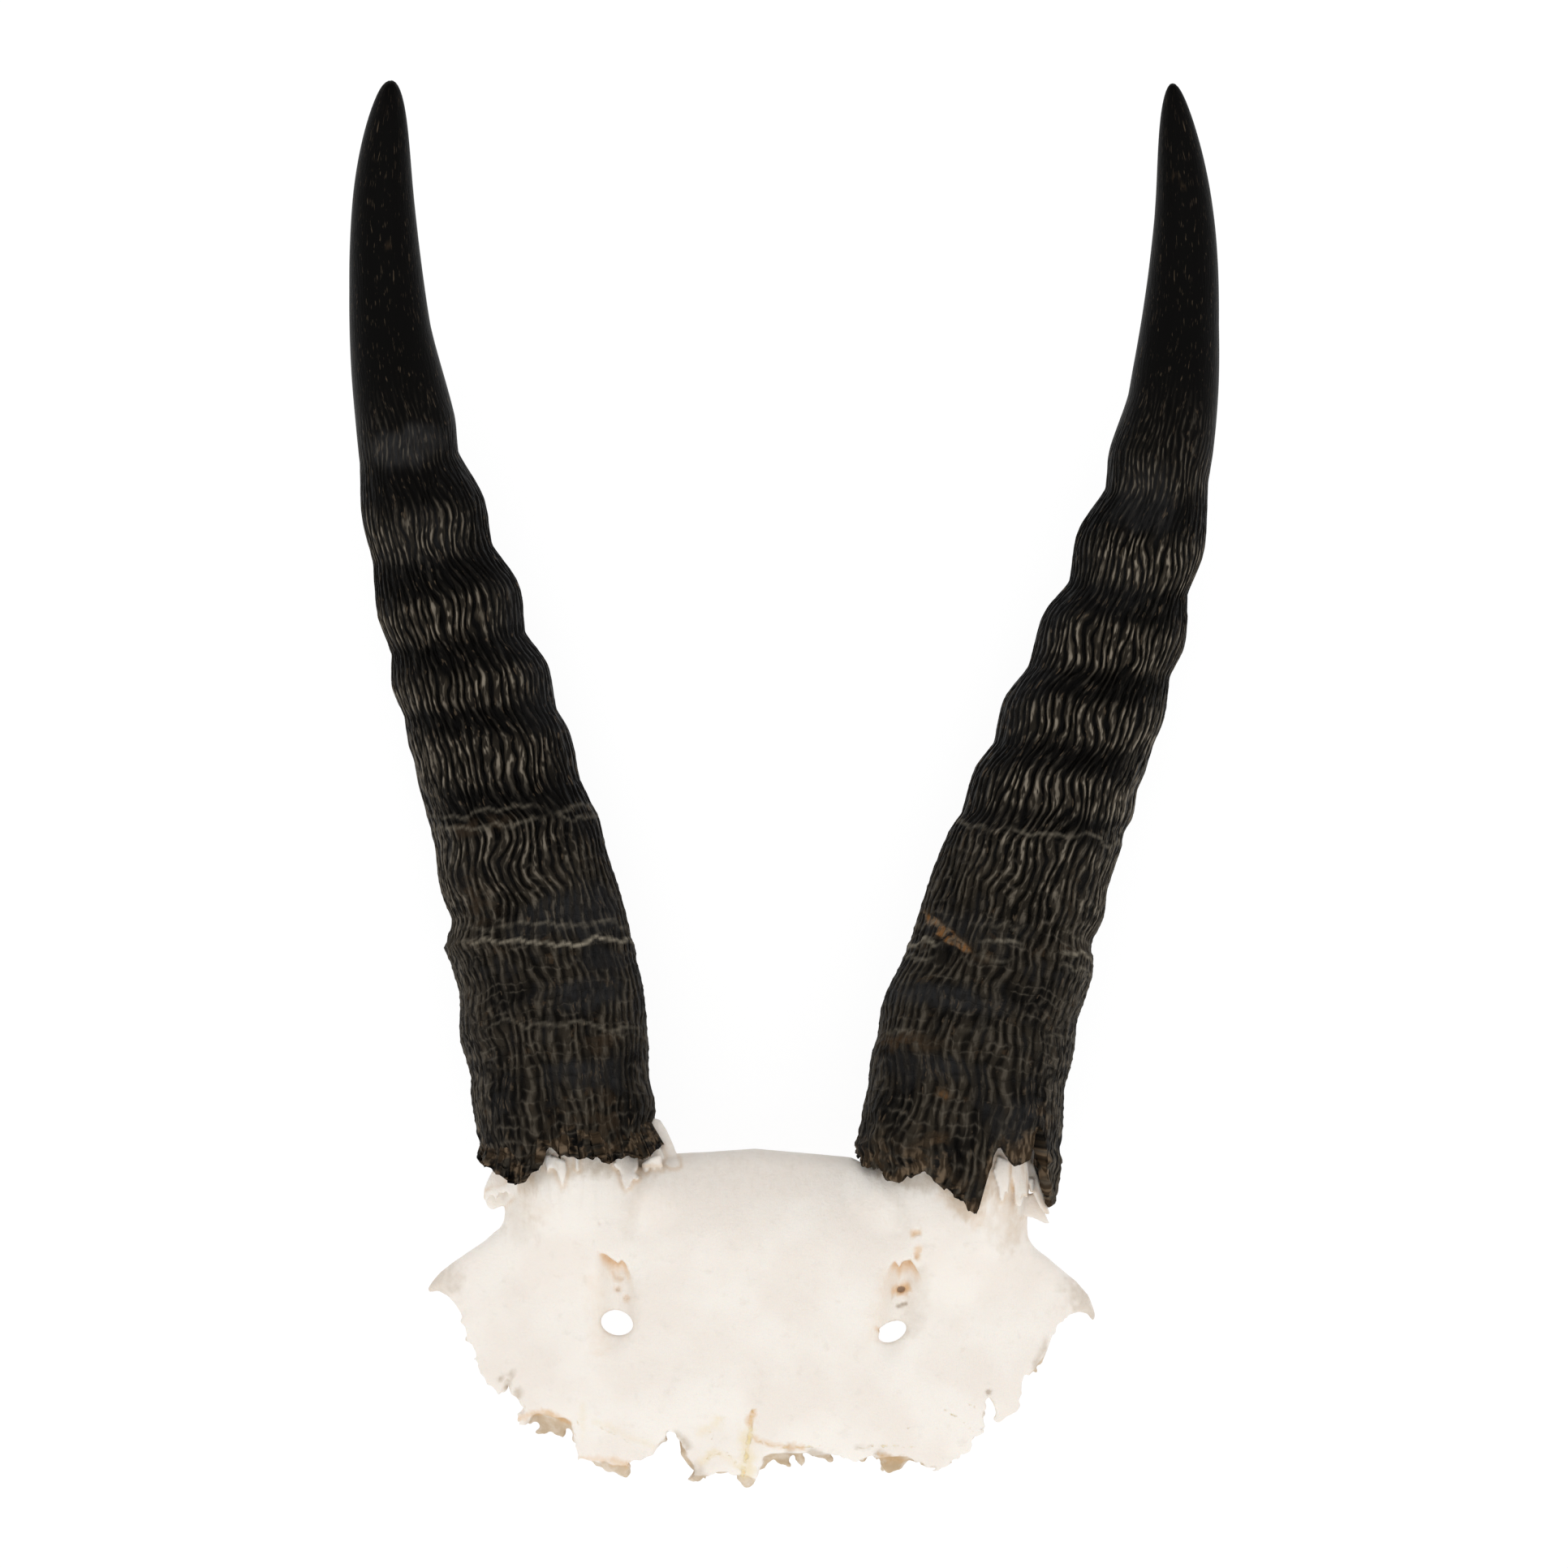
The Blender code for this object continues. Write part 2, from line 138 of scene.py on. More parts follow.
def smooth_min(one: np.ndarray, other: np.ndarray, reach: float | np.ndarray) -> np.ndarray:
    """The lower of two distances, with a fillet where they meet.

    Args:
        one: First distance.
        other: Second distance.
        reach: How far apart they still blend.

    Returns:
        The distance to the union of the two shapes.
    """
    near = np.maximum(reach - np.abs(one - other), 0.0) / reach
    return np.minimum(one, other) - near * near * reach / 4.0


def smooth_max(one: np.ndarray, other: np.ndarray, reach: float | np.ndarray) -> np.ndarray:
    """The higher of two distances, with a rounded edge where they meet."""
    return -smooth_min(-one, -other, reach)


def through(points: Points, y: np.ndarray) -> np.ndarray:
    """Values at y on a smooth curve through points, each of which is y and then the values.

    Args:
        points: Rows of y and values, in rising y.
        y: Where the curve is read, of any shape.

    Returns:
        An array of y's shape with one more axis, for the values.
    """
    rows = np.array(points)
    slopes = np.gradient(rows[:, 1:], rows[:, 0], axis=0)
    index = np.clip(np.searchsorted(rows[:, 0], y) - 1, 0, len(rows) - 2)
    low, high = rows[index], rows[index + 1]
    span = high[..., :1] - low[..., :1]
    t = (np.asarray(y)[..., None] - low[..., :1]) / span
    bend = smooth_step(t)
    leave = t * (1.0 - t) ** 2 * span * slopes[index]
    arrive = t * t * (1.0 - t) * span * slopes[index + 1]
    return low[..., 1:] * (1.0 - bend) + high[..., 1:] * bend + leave - arrive


def lattice_value(cells: tuple[np.ndarray, ...], seed: int) -> np.ndarray:
    """A fixed random number for each cell corner of a lattice.

    Args:
        cells: Whole coordinates of the corners, one array for each axis.
        seed: Picks the pattern.

    Returns:
        Numbers from -1 to 1.
    """
    mixed = np.uint32(seed)
    for cell, prime in zip(cells, (2654435761, 2246822519, 3266489917)):
        mixed = (mixed ^ (cell.astype(np.uint32) * np.uint32(prime))) * np.uint32(668265263)
        mixed = mixed ^ (mixed >> np.uint32(15))
    return mixed.astype(np.float64) / 2.0**31 - 1.0


def value_noise(x: np.ndarray, y: np.ndarray, z: np.ndarray, seed: int) -> np.ndarray:
    """Smooth noise with features about one unit wide.

    Args:
        x: Where the noise is read.
        y: Likewise.
        z: Likewise.
        seed: Picks the pattern.

    Returns:
        Numbers from -1 to 1.
    """
    x, y, z = np.broadcast_arrays(x, y, z)
    floors = [np.floor(axis) for axis in (x, y, z)]
    shares = [axis - floor for axis, floor in zip((x, y, z), floors)]
    blends = [share**3 * (share * (share * 6.0 - 15.0) + 10.0) for share in shares]
    total = np.zeros(x.shape)
    for corner in np.ndindex(2, 2, 2):
        cells = tuple((floor + step).astype(np.int64) for floor, step in zip(floors, corner))
        weight = 1.0
        for blend, step in zip(blends, corner):
            weight = weight * (blend if step else 1.0 - blend)
        total += weight * lattice_value(cells, seed)
    return total


def rough_noise(x: np.ndarray, y: np.ndarray, z: np.ndarray, seed: int, octaves: int) -> np.ndarray:
    """Noise summed over octaves, each twice as fine and half as strong.

    Args:
        x: Where the noise is read.
        y: Likewise.
        z: Likewise.
        seed: Picks the first octave's pattern. The others take the seeds that follow.
        octaves: How many are summed.

    Returns:
        The sum at each place.
    """
    total = 0.0
    for octave in range(octaves):
        scale = 2.0**octave
        total = total + value_noise(x * scale, y * scale, z * scale, seed + octave) / scale
    return total


def make_object(name: str, points: np.ndarray, faces: np.ndarray | list) -> bpy.types.Object:
    """Make an object from points in millimetres.

    Args:
        name: The piece's name.
        points: One row of x, y and z for each point.
        faces: Corner numbers of each face.

    Returns:
        The new object, at the origin, with smooth faces.
    """
    mesh = bpy.data.meshes.new(name)
    mesh.from_pydata((points * METRES).tolist(), [], [tuple(face) for face in faces])
    mesh.validate()
    mesh.shade_smooth()
    item = bpy.data.objects.new(name, mesh)
    bpy.context.scene.collection.objects.link(item)
    return item


def mark(item: bpy.types.Object, name: Mark, values: np.ndarray) -> None:
    """Store numbers or vectors on the points of a piece.

    Args:
        item: The piece.
        name: The attribute's name.
        values: One number, or one row of three, for each point.
    """
    kind, key = ("FLOAT_VECTOR", "vector") if values.ndim == 2 else ("FLOAT", "value")
    attribute = item.data.attributes.new(name.value, kind, "POINT")
    attribute.data.foreach_set(key, values.astype(np.float32).ravel())


def settle(item: bpy.types.Object) -> None:
    """Turn a piece and its modifiers into a plain mesh.

    Args:
        item: The piece, which keeps its name.
    """
    bpy.context.view_layer.update()
    evaluated = item.evaluated_get(bpy.context.evaluated_depsgraph_get())
    mesh = bpy.data.meshes.new_from_object(evaluated)
    old = item.data
    item.modifiers.clear()
    item.data = mesh
    bpy.data.meshes.remove(old)
    mesh.name = item.name


def places_of(item: bpy.types.Object) -> np.ndarray:
    """The places of a piece's points, in metres.

    Args:
        item: The piece.

    Returns:
        One row for each point.
    """
    flat = np.empty(len(item.data.vertices) * 3, np.float32)
    item.data.vertices.foreach_get("co", flat)
    return flat.reshape(-1, 3)


def keep_in_box(item: bpy.types.Object) -> None:
    """Press in the little that stands out of the model's box, such as below the surface it lies on."""
    inside = np.clip(places_of(item), *np.array(CAD_BOX, np.float32))
    item.data.vertices.foreach_set("co", inside.ravel())


def triangle_count(item: bpy.types.Object) -> int:
    """The number of triangles of a piece."""
    return sum(len(face.vertices) - 2 for face in item.data.polygons)


def new_material(name: str) -> tuple[bpy.types.Material, bpy.types.Node]:
    """Start a material.

    Args:
        name: Its name.

    Returns:
        The material and its shader.
    """
    material = bpy.data.materials.new(name)
    material.use_nodes = True
    return material, material.node_tree.nodes["Principled BSDF"]


class Sketch:
    """Writes formulas as nodes, alike in a material and in a geometry tree."""

    def __init__(self, tree: bpy.types.NodeTree) -> None:
        """Keep the tree that the nodes go in."""
        self.tree = tree
        self.in_geometry = tree.bl_idname == "GeometryNodeTree"

    def add(self, kind: str, **settings: str) -> bpy.types.Node:
        """Add a node.

        Args:
            kind: The node's type.
            settings: Its settings by name.

        Returns:
            The new node.
        """
        node = self.tree.nodes.new(kind)
        for name, value in settings.items():
            setattr(node, name, value)
        return node

    def feed(self, socket: Socket, value: Value) -> None:
        """Link a socket to another, or set its value.

        Args:
            socket: The input that is fed.
            value: The other socket, or the value.
        """
        if isinstance(value, Socket):
            self.tree.links.new(value, socket)
        else:
            socket.default_value = value

    def fed(self, node: bpy.types.Node, given: dict) -> Socket:
        """Feed some inputs of a node.

        Args:
            node: The node.
            given: A value for each input, by the input's name or number.

        Returns:
            The node's first output.
        """
        for key, value in given.items():
            self.feed(node.inputs[key], value)
        return node.outputs[0]

    def math(self, operation: str, *values: Value) -> Socket:
        """One step of arithmetic."""
        return self.fed(self.add("ShaderNodeMath", operation=operation), dict(enumerate(values)))

    def times(self, *values: Value) -> Socket:
        """The product of some values."""
        return reduce(partial(self.math, "MULTIPLY"), values)

    def plus(self, *values: Value) -> Socket:
        """The sum of some values."""
        return reduce(partial(self.math, "ADD"), values)

    def ramp(self, value: Value, low: float, high: float, start: float = 0.0, end: float = 1.0) -> Socket:
        """Go smoothly from one number to another while a value does.

        Args:
            value: What is followed.
            low: Its number at the start.
            high: Its number at the end.
            start: The result at the start.
            end: The result at the end.

        Returns:
            The result.
        """
        node = self.add("ShaderNodeMapRange", interpolation_type="SMOOTHSTEP")
        given = {"Value": value, "From Min": low, "From Max": high, "To Min": start, "To Max": end}
        return self.fed(node, given)

    def noise(self, place: Value, scale: float, detail: float = 2.0, roughness: float = 0.5) -> Socket:
        """Noise from 0 to 1 at a place."""
        given = {"Vector": place, "Scale": scale, "Detail": detail, "Roughness": roughness}
        return self.fed(self.add("ShaderNodeTexNoise"), given)

    def parts(self, vector: Value) -> tuple[Socket, ...]:
        """The three numbers of a vector."""
        node = self.add("ShaderNodeSeparateXYZ")
        self.feed(node.inputs[0], vector)
        return tuple(node.outputs)

    def join(self, x: Value, y: Value, z: Value) -> Socket:
        """A vector of three numbers."""
        return self.fed(self.add("ShaderNodeCombineXYZ"), {0: x, 1: y, 2: z})

    def stored(self, name: Mark, vector: bool = False) -> Socket:
        """A stored attribute of the mesh.

        Args:
            name: The attribute's name.
            vector: Whether it has three numbers.

        Returns:
            Its value at each point.
        """
        if self.in_geometry:
            kind = "FLOAT_VECTOR" if vector else "FLOAT"
            node = self.add("GeometryNodeInputNamedAttribute", data_type=kind)
            node.inputs["Name"].default_value = name.value
            return node.outputs[0]
        node = self.add("ShaderNodeAttribute", attribute_type="GEOMETRY", attribute_name=name.value)
        return node.outputs["Vector" if vector else "Fac"]

    def tint(self, amount: Value, one: Value, other: Value) -> Socket:
        """Mix two colours: all the first at 0, all the other at 1."""
        node = self.add("ShaderNodeMix", data_type="RGBA")
        self.fed(node, {0: amount, 6: one, 7: other})
        return node.outputs[2]

    def bumped(self, height: Value, strength: float) -> Socket:
        """Normals that a height in millimetres tilts.

        Args:
            height: The height.
            strength: How far it counts, up to 1.

        Returns:
            The tilted normals.
        """
        node = self.add("ShaderNodeBump")
        return self.fed(node, {"Strength": strength, "Distance": METRES, "Height": height})


@dataclass(frozen=True)
class KeratinPattern:
    """The grain of the horn, written once for its relief and for its colour.

    Its place on the horn is the grain attribute: the cosine and sine of the angle round the
    horn, and the distance along it.  Counts are round the horn, and pitches in millimetres.
    """

    radius: float = 11.0
    strands: int = 54
    course_pitch: float = 1.7

    def draw(self, pen: Sketch) -> dict[str, Socket]:
        """Write the pattern as nodes.

        Args:
            pen: The tree to write in.

        Returns:
            Values from 0 to 1 by name: strand, hair, course, bead, glint, patch and blotch.
        """
        cosine, sine, along = pen.parts(pen.stored(Mark.GRAIN, vector=True))
        x, y = pen.times(cosine, self.radius), pen.times(sine, self.radius)
        angle = pen.math("ARCTAN2", sine, cosine)

        def noise(scale: float, stretch: float, detail: float = 0.0) -> Socket:
            """Noise on the horn, drawn out along it where stretch is low."""
            return pen.noise(pen.join(x, y, pen.times(along, stretch)), scale, detail, 0.55)

        def sway(value: Socket, amount: float) -> Socket:
            """Noise about 0, of some amount, in place of noise about a half."""
            return pen.times(pen.plus(value, -0.5), amount)

        patch, blotch, glint = noise(0.2, 0.7, 1.0), noise(0.55, 1.0, 3.0), noise(0.3, 0.9, 1.0)
        weave, kink, bead = noise(0.3, 0.5), noise(0.9, 0.45), noise(1.9, 0.3, 1.5)
        turn = pen.plus(pen.times(angle, self.strands // 2), sway(weave, 6.0), sway(kink, 1.9))
        strand = pen.math("ABSOLUTE", pen.math("SINE", turn))
        hair = pen.math("ABSOLUTE", pen.math("SINE", pen.plus(pen.times(turn, 2.0), sway(kink, 3.0))))
        rise = pen.times(along, 2.0 * math.pi / self.course_pitch)
        level = pen.plus(rise, sway(patch, 14.0), sway(kink, 2.0), pen.times(strand, 1.0))
        course = pen.plus(pen.times(pen.math("COSINE", level), 0.5), 0.5)
        return {
            "strand": strand,
            "hair": hair,
            "course": pen.math("POWER", course, 5.0),
            "bead": bead,
            "glint": glint,
            "patch": patch,
            "blotch": blotch,
        }


@dataclass(frozen=True)
class KeratinFinish:
    """Satin black horn that turns brown and dull towards its weathered base."""

    name: str
    black: Colour = (0.0014, 0.0012, 0.001, 1.0)
    # Slate grey of smooth horn, which is partly a painted sheen.
    slate_and_sheen: Colour = (0.0185, 0.0185, 0.019, 1.0)
    umber: Colour = (0.0075, 0.0058, 0.004, 1.0)
    # Mid-brown of the strand bodies, which partly stands in for light on the relief.
    ridge: Colour = (0.031, 0.025, 0.0175, 1.0)
    # Pale fibres, and the painted highlight on strand crests.
    fibre_and_highlight: Colour = (0.21, 0.18, 0.14, 1.0)
    fleck: Colour = (0.115, 0.083, 0.054, 1.0)
    brown: Colour = (0.042, 0.027, 0.015, 1.0)
    tan: Colour = (0.15, 0.105, 0.066, 1.0)
    rust: Colour = (0.19, 0.088, 0.03, 1.0)
    pale: Colour = (0.3, 0.262, 0.2, 1.0)
    pattern: KeratinPattern = KeratinPattern()
    roughness: float = 0.36
    weathered_dulling: float = 0.18
    bead_dulling: float = 0.12
    specular: float = 0.035

    def material(self) -> bpy.types.Material:
        """Make the material, whose detail follows the grain of the sheath."""
        material, shader = new_material(self.name)
        pen = Sketch(material.node_tree)
        drawn = self.pattern.draw(pen)
        ringed, weathered, wear_and_highlight = pen.parts(pen.stored(Mark.ZONE, vector=True))
        rubbed_and_sheen, earthy, curtain = pen.parts(pen.stored(Mark.TONE, vector=True))
        layers = (
            *self.ground_layers(pen, drawn, weathered, rubbed_and_sheen),
            *self.fibre_layers(pen, drawn, ringed, wear_and_highlight, curtain),
            *self.base_layers(pen, drawn, pen.times(weathered, pen.ramp(rubbed_and_sheen, 0.1, 0.9, 1.0, 0.2)), earthy),
        )
        colour = self.black
        for amount, layer in layers:
            colour = pen.tint(amount, colour, layer)
        pen.feed(shader.inputs["Base Color"], colour)
        dulled = pen.times(weathered, self.weathered_dulling)
        roughness = pen.plus(self.roughness, dulled, pen.times(drawn["bead"], self.bead_dulling))
        pen.feed(shader.inputs["Roughness"], roughness)
        shader.inputs["Specular IOR Level"].default_value = self.specular
        height = pen.plus(
            pen.times(drawn["strand"], ringed, 0.24),
            pen.times(drawn["bead"], pen.plus(pen.times(ringed, 0.5), pen.times(weathered, 0.35), 0.08)),
            pen.times(drawn["course"], weathered, 0.2),
        )
        pen.feed(shader.inputs["Normal"], pen.bumped(height, 1.0))
        return material

    def ground_layers(self, pen: Sketch, drawn: dict, weathered: Socket, rubbed_and_sheen: Socket) -> tuple:
        """The dark ground: umber where it is weathered, and slate grey with a painted sheen where it is
        smooth.

        Args:
            pen: The tree to write in.
            drawn: The pattern's values by name.
            weathered: How weathered the horn is.
            rubbed_and_sheen: How smooth it is, with its painted sheen.

        Returns:
            Pairs of an amount and a colour, in the order in which they are laid on.
        """
        dull = pen.times(weathered, pen.ramp(drawn["patch"], 0.35, 0.6, 0.1, 0.8))
        # Painted sheen: slate grey on smooth patches and on smooth plates of the weathered base.
        slaty_and_sheen = pen.plus(
            pen.times(rubbed_and_sheen, pen.ramp(drawn["bead"], 0.3, 0.6, 0.5, 0.9)),
            pen.times(weathered, pen.ramp(drawn["glint"], 0.46, 0.36), 0.28),
        )
        return (dull, self.umber), (slaty_and_sheen, self.slate_and_sheen)

    def fibre_layers(self, pen: Sketch, drawn: dict, ringed: Socket, wear_and_highlight: Socket, curtain: Socket) -> tuple:
        """The pale crests and lighter bodies of the strands, from abrasion and painted light, and fine flecks
        between them.

        Args:
            pen: The tree to write in.
            drawn: The pattern's values by name.
            ringed: How strongly the horn is ringed.
            wear_and_highlight: How far its fibres are pale from abrasion and from painted highlight.
            curtain: How far the outer side's fine lines show.

        Returns:
            Pairs of an amount and a colour, in the order in which they are laid on.
        """
        beaded = pen.ramp(drawn["bead"], 0.42, 0.6)
        uneven = pen.ramp(drawn["bead"], 0.35, 0.55, 0.45, 0.85)
        # Painted light: strand bodies are lighter than the crevices between them, and the narrow crests carry
        # a painted highlight as well as wear.
        body = pen.times(pen.ramp(drawn["strand"], 0.35, 0.8), wear_and_highlight, uneven)
        crest = pen.times(pen.ramp(drawn["strand"], 0.8, 1.0), beaded)
        worn_and_highlit = pen.times(crest, wear_and_highlight, pen.ramp(drawn["glint"], 0.35, 0.6, 0.3, 1.0))
        line = pen.times(pen.ramp(drawn["hair"], 0.7, 1.0), pen.ramp(drawn["bead"], 0.5, 0.64))
        flecks = pen.times(line, pen.ramp(drawn["blotch"], 0.5, 0.62), pen.plus(0.45, pen.times(ringed, 0.2)))
        draped = pen.times(curtain, pen.ramp(drawn["hair"], 0.4, 1.0, 0.1, 1.0), beaded, 0.4)
        return (flecks, self.fleck), (body, self.ridge), (draped, self.fibre_and_highlight), (worn_and_highlit, self.fibre_and_highlight)

    def base_layers(self, pen: Sketch, drawn: dict, weathered: Socket, earthy: Socket) -> tuple:
        """The weathered base: pale courses and ribs, brown scurf, growth lines and rim.

        Args:
            pen: The tree to write in.
            drawn: The pattern's values by name.
            weathered: How weathered the horn is.
            earthy: How far earthy scurf crusts it.

        Returns:
            Pairs of an amount and a colour, in the order in which they are laid on.
        """
        ridge = pen.ramp(drawn["bead"], 0.4, 0.6)
        laced = pen.times(weathered, pen.ramp(drawn["glint"], 0.48, 0.62))
        courses = pen.times(drawn["course"], laced, pen.ramp(drawn["bead"], 0.35, 0.55, 0.3, 1.0), 0.18)
        ribbed = pen.times(weathered, pen.ramp(drawn["patch"], 0.4, 0.58, 0.15, 1.0))
        # Painted light: rib bodies of the base are lighter than the crevices between them, and rib crests
        # carry a painted highlight as well as pale fibres.
        ribs = pen.times(pen.ramp(drawn["strand"], 0.7, 1.0), ribbed, ridge, 0.2)
        flank = pen.times(pen.ramp(drawn["strand"], 0.25, 0.85), ribbed, 0.75)
        scaly = pen.times(weathered, pen.ramp(drawn["blotch"], 0.58, 0.68))
        scurf = pen.times(scaly, pen.ramp(drawn["patch"], 0.46, 0.58), 0.7)
        crusted = pen.times(earthy, pen.ramp(drawn["blotch"], 0.4, 0.56))
        crust = pen.tint(pen.ramp(earthy, 0.5, 0.9), self.brown, pen.tint(ridge, self.rust, self.tan))
        mouth = pen.times(pen.stored(Mark.MOUTH), pen.ramp(drawn["blotch"], 0.42, 0.56), 0.9)
        seam = pen.times(pen.stored(Mark.LINE), pen.ramp(drawn["bead"], 0.3, 0.5, 0.35, 0.85))
        return (
            (scurf, self.brown),
            (flank, self.ridge),
            (courses, self.fibre_and_highlight),
            (ribs, self.fibre_and_highlight),
            (mouth, pen.tint(pen.ramp(drawn["bead"], 0.46, 0.62), self.brown, self.tan)),
            (crusted, crust),
            (seam, self.pale),
        )


@dataclass(frozen=True)
class BoneFinish:
    """Dry pale bone: streaked and porous, tinted at its breaks and along its sutures, with painted shade
    where shade falls.
    """

    name: str
    bone: Colour = (0.84, 0.775, 0.705, 1.0)
    chalk: Colour = (0.88, 0.83, 0.765, 1.0)
    grey: Colour = (0.70, 0.64, 0.57, 1.0)
    amber: Colour = (0.68, 0.385, 0.13, 1.0)
    # Brown for stains, also laid on as painted shade where shade falls.
    shade: Colour = (0.37, 0.27, 0.16, 1.0)
    straw: Colour = (0.80, 0.65, 0.36, 1.0)
    tan: Colour = (0.52, 0.38, 0.22, 1.0)
    roughness: Span = (0.5, 0.68)
    specular: float = 0.35
    translucence: float = 0.12
    scatter: tuple[float, float, float] = (0.0018, 0.0012, 0.0008)
    bump_strength: float = 0.8

    def material(self) -> bpy.types.Material:
        """Make the material, which reads the stains and painted shade, the suture and the layer of each
        point.
        """
        material, shader = new_material(self.name)
        pen = Sketch(material.node_tree)
        mapping = pen.add("ShaderNodeMapping")
        mapping.inputs["Scale"].default_value = (1.0 / METRES,) * 3
        pen.feed(mapping.inputs["Vector"], pen.add("ShaderNodeTexCoord").outputs["Object"])
        place = mapping.outputs[0]
        x, y, z = pen.parts(place)
        mottle = pen.noise(place, 0.5, 3.0, 0.6)
        pores = pen.noise(place, 2.6, 3.0, 0.6)
        streaks = pen.noise(pen.join(x, pen.times(y, 0.12), z), 1.1, 3.0, 0.6)
        crack = self.crack(pen, place, mottle)
        colour = pen.tint(crack, self.ground(pen, place, mottle, pores), self.straw)
        lined = pen.times(pen.ramp(y, -70.0, -60.0), pen.ramp(streaks, 0.4, 0.8, 0.0, 0.09))
        colour = self.stained_and_shaded(pen, pen.tint(lined, colour, self.shade), mottle)
        pen.feed(shader.inputs["Base Color"], colour)
        pen.feed(shader.inputs["Roughness"], pen.ramp(mottle, 0.3, 0.7, *self.roughness))
        shader.inputs["Specular IOR Level"].default_value = self.specular
        shader.inputs["Subsurface Weight"].default_value = self.translucence
        shader.inputs["Subsurface Radius"].default_value = self.scatter
        shader.inputs["Subsurface Scale"].default_value = 1.0
        height = pen.plus(
            pen.times(pores, 0.1), pen.times(streaks, 0.14), pen.times(mottle, 0.16), pen.times(crack, -0.25)
        )
        pen.feed(shader.inputs["Normal"], pen.bumped(height, self.bump_strength))
        return material

    def ground(self, pen: Sketch, place: Socket, mottle: Socket, pores: Socket) -> Socket:
        """The pale ground, with its grey mottle and pores, and the tan of its inner layer.

        Args:
            pen: The tree to write in.
            place: The place on the bone, in millimetres.
            mottle: Noise of a few millimetres.
            pores: Fine noise.

        Returns:
            The colour.
        """
        colour = pen.tint(pen.ramp(pen.noise(place, 0.09, 2.0), 0.35, 0.65), self.bone, self.chalk)
        colour = pen.tint(pen.ramp(mottle, 0.55, 0.8, 0.0, 0.35), colour, self.grey)
        colour = pen.tint(pen.ramp(pores, 0.66, 0.78, 0.0, 0.4), colour, self.grey)
        layer = pen.times(pen.stored(Mark.LAYER), pen.ramp(mottle, 0.3, 0.6, 0.6, 1.0))
        return pen.tint(layer, colour, self.tan)

    def crack(self, pen: Sketch, place: Socket, mottle: Socket) -> Socket:
        """How strongly the line of a suture shows.

        Args:
            pen: The tree to write in.
            place: The place on the bone, in millimetres.
            mottle: Noise of a few millimetres.

        Returns:
            Its strength, from 0 to 1.
        """
        wobble = pen.times(pen.plus(pen.noise(place, 1.4, 2.0), -0.5), 0.7)
        line = pen.ramp(pen.plus(pen.stored(Mark.SUTURE), wobble), 0.05, 0.42, 1.0, 0.0)
        return pen.times(line, pen.ramp(mottle, 0.3, 0.6, 0.35, 1.0))

    def stained_and_shaded(self, pen: Sketch, colour: Socket, mottle: Socket) -> Socket:
        """Dab the stains of the bone, and its painted shade, over a colour.

        Args:
            pen: The tree to write in.
            colour: The colour below them.
            mottle: Noise of a few millimetres.

        Returns:
            The colour with its stains and painted shade.
        """
        amber, shade, straw = pen.parts(pen.stored(Mark.STAIN_AND_SHADE, vector=True))
        dabbed = pen.ramp(mottle, 0.3, 0.65, 0.6, 1.0)
        # The brown and the amber carry painted shade as well as stains.
        for amount, tone in ((shade, self.shade), (straw, self.straw), (amber, self.amber)):
            colour = pen.tint(pen.times(amount, dabbed), colour, tone)
        return colour


@dataclass(frozen=True)
class Patch:
    """A patch of horn with its own tone: its place, its half sizes and its strength.

    y is along the horn and angle is round it, in degrees.  lean is its climb per degree.
    """

    tone: Tone
    y: float
    angle: float
    half_length: float
    half_angle: float
    strength: float
    lean: float = 0.0


@dataclass(frozen=True)
class HornNoise:
    """Noise on a horn: how fine it is round it, its pitch along it, its seed and its octaves."""

    radius: float
    pitch: float
    seed: int
    octaves: int = 2


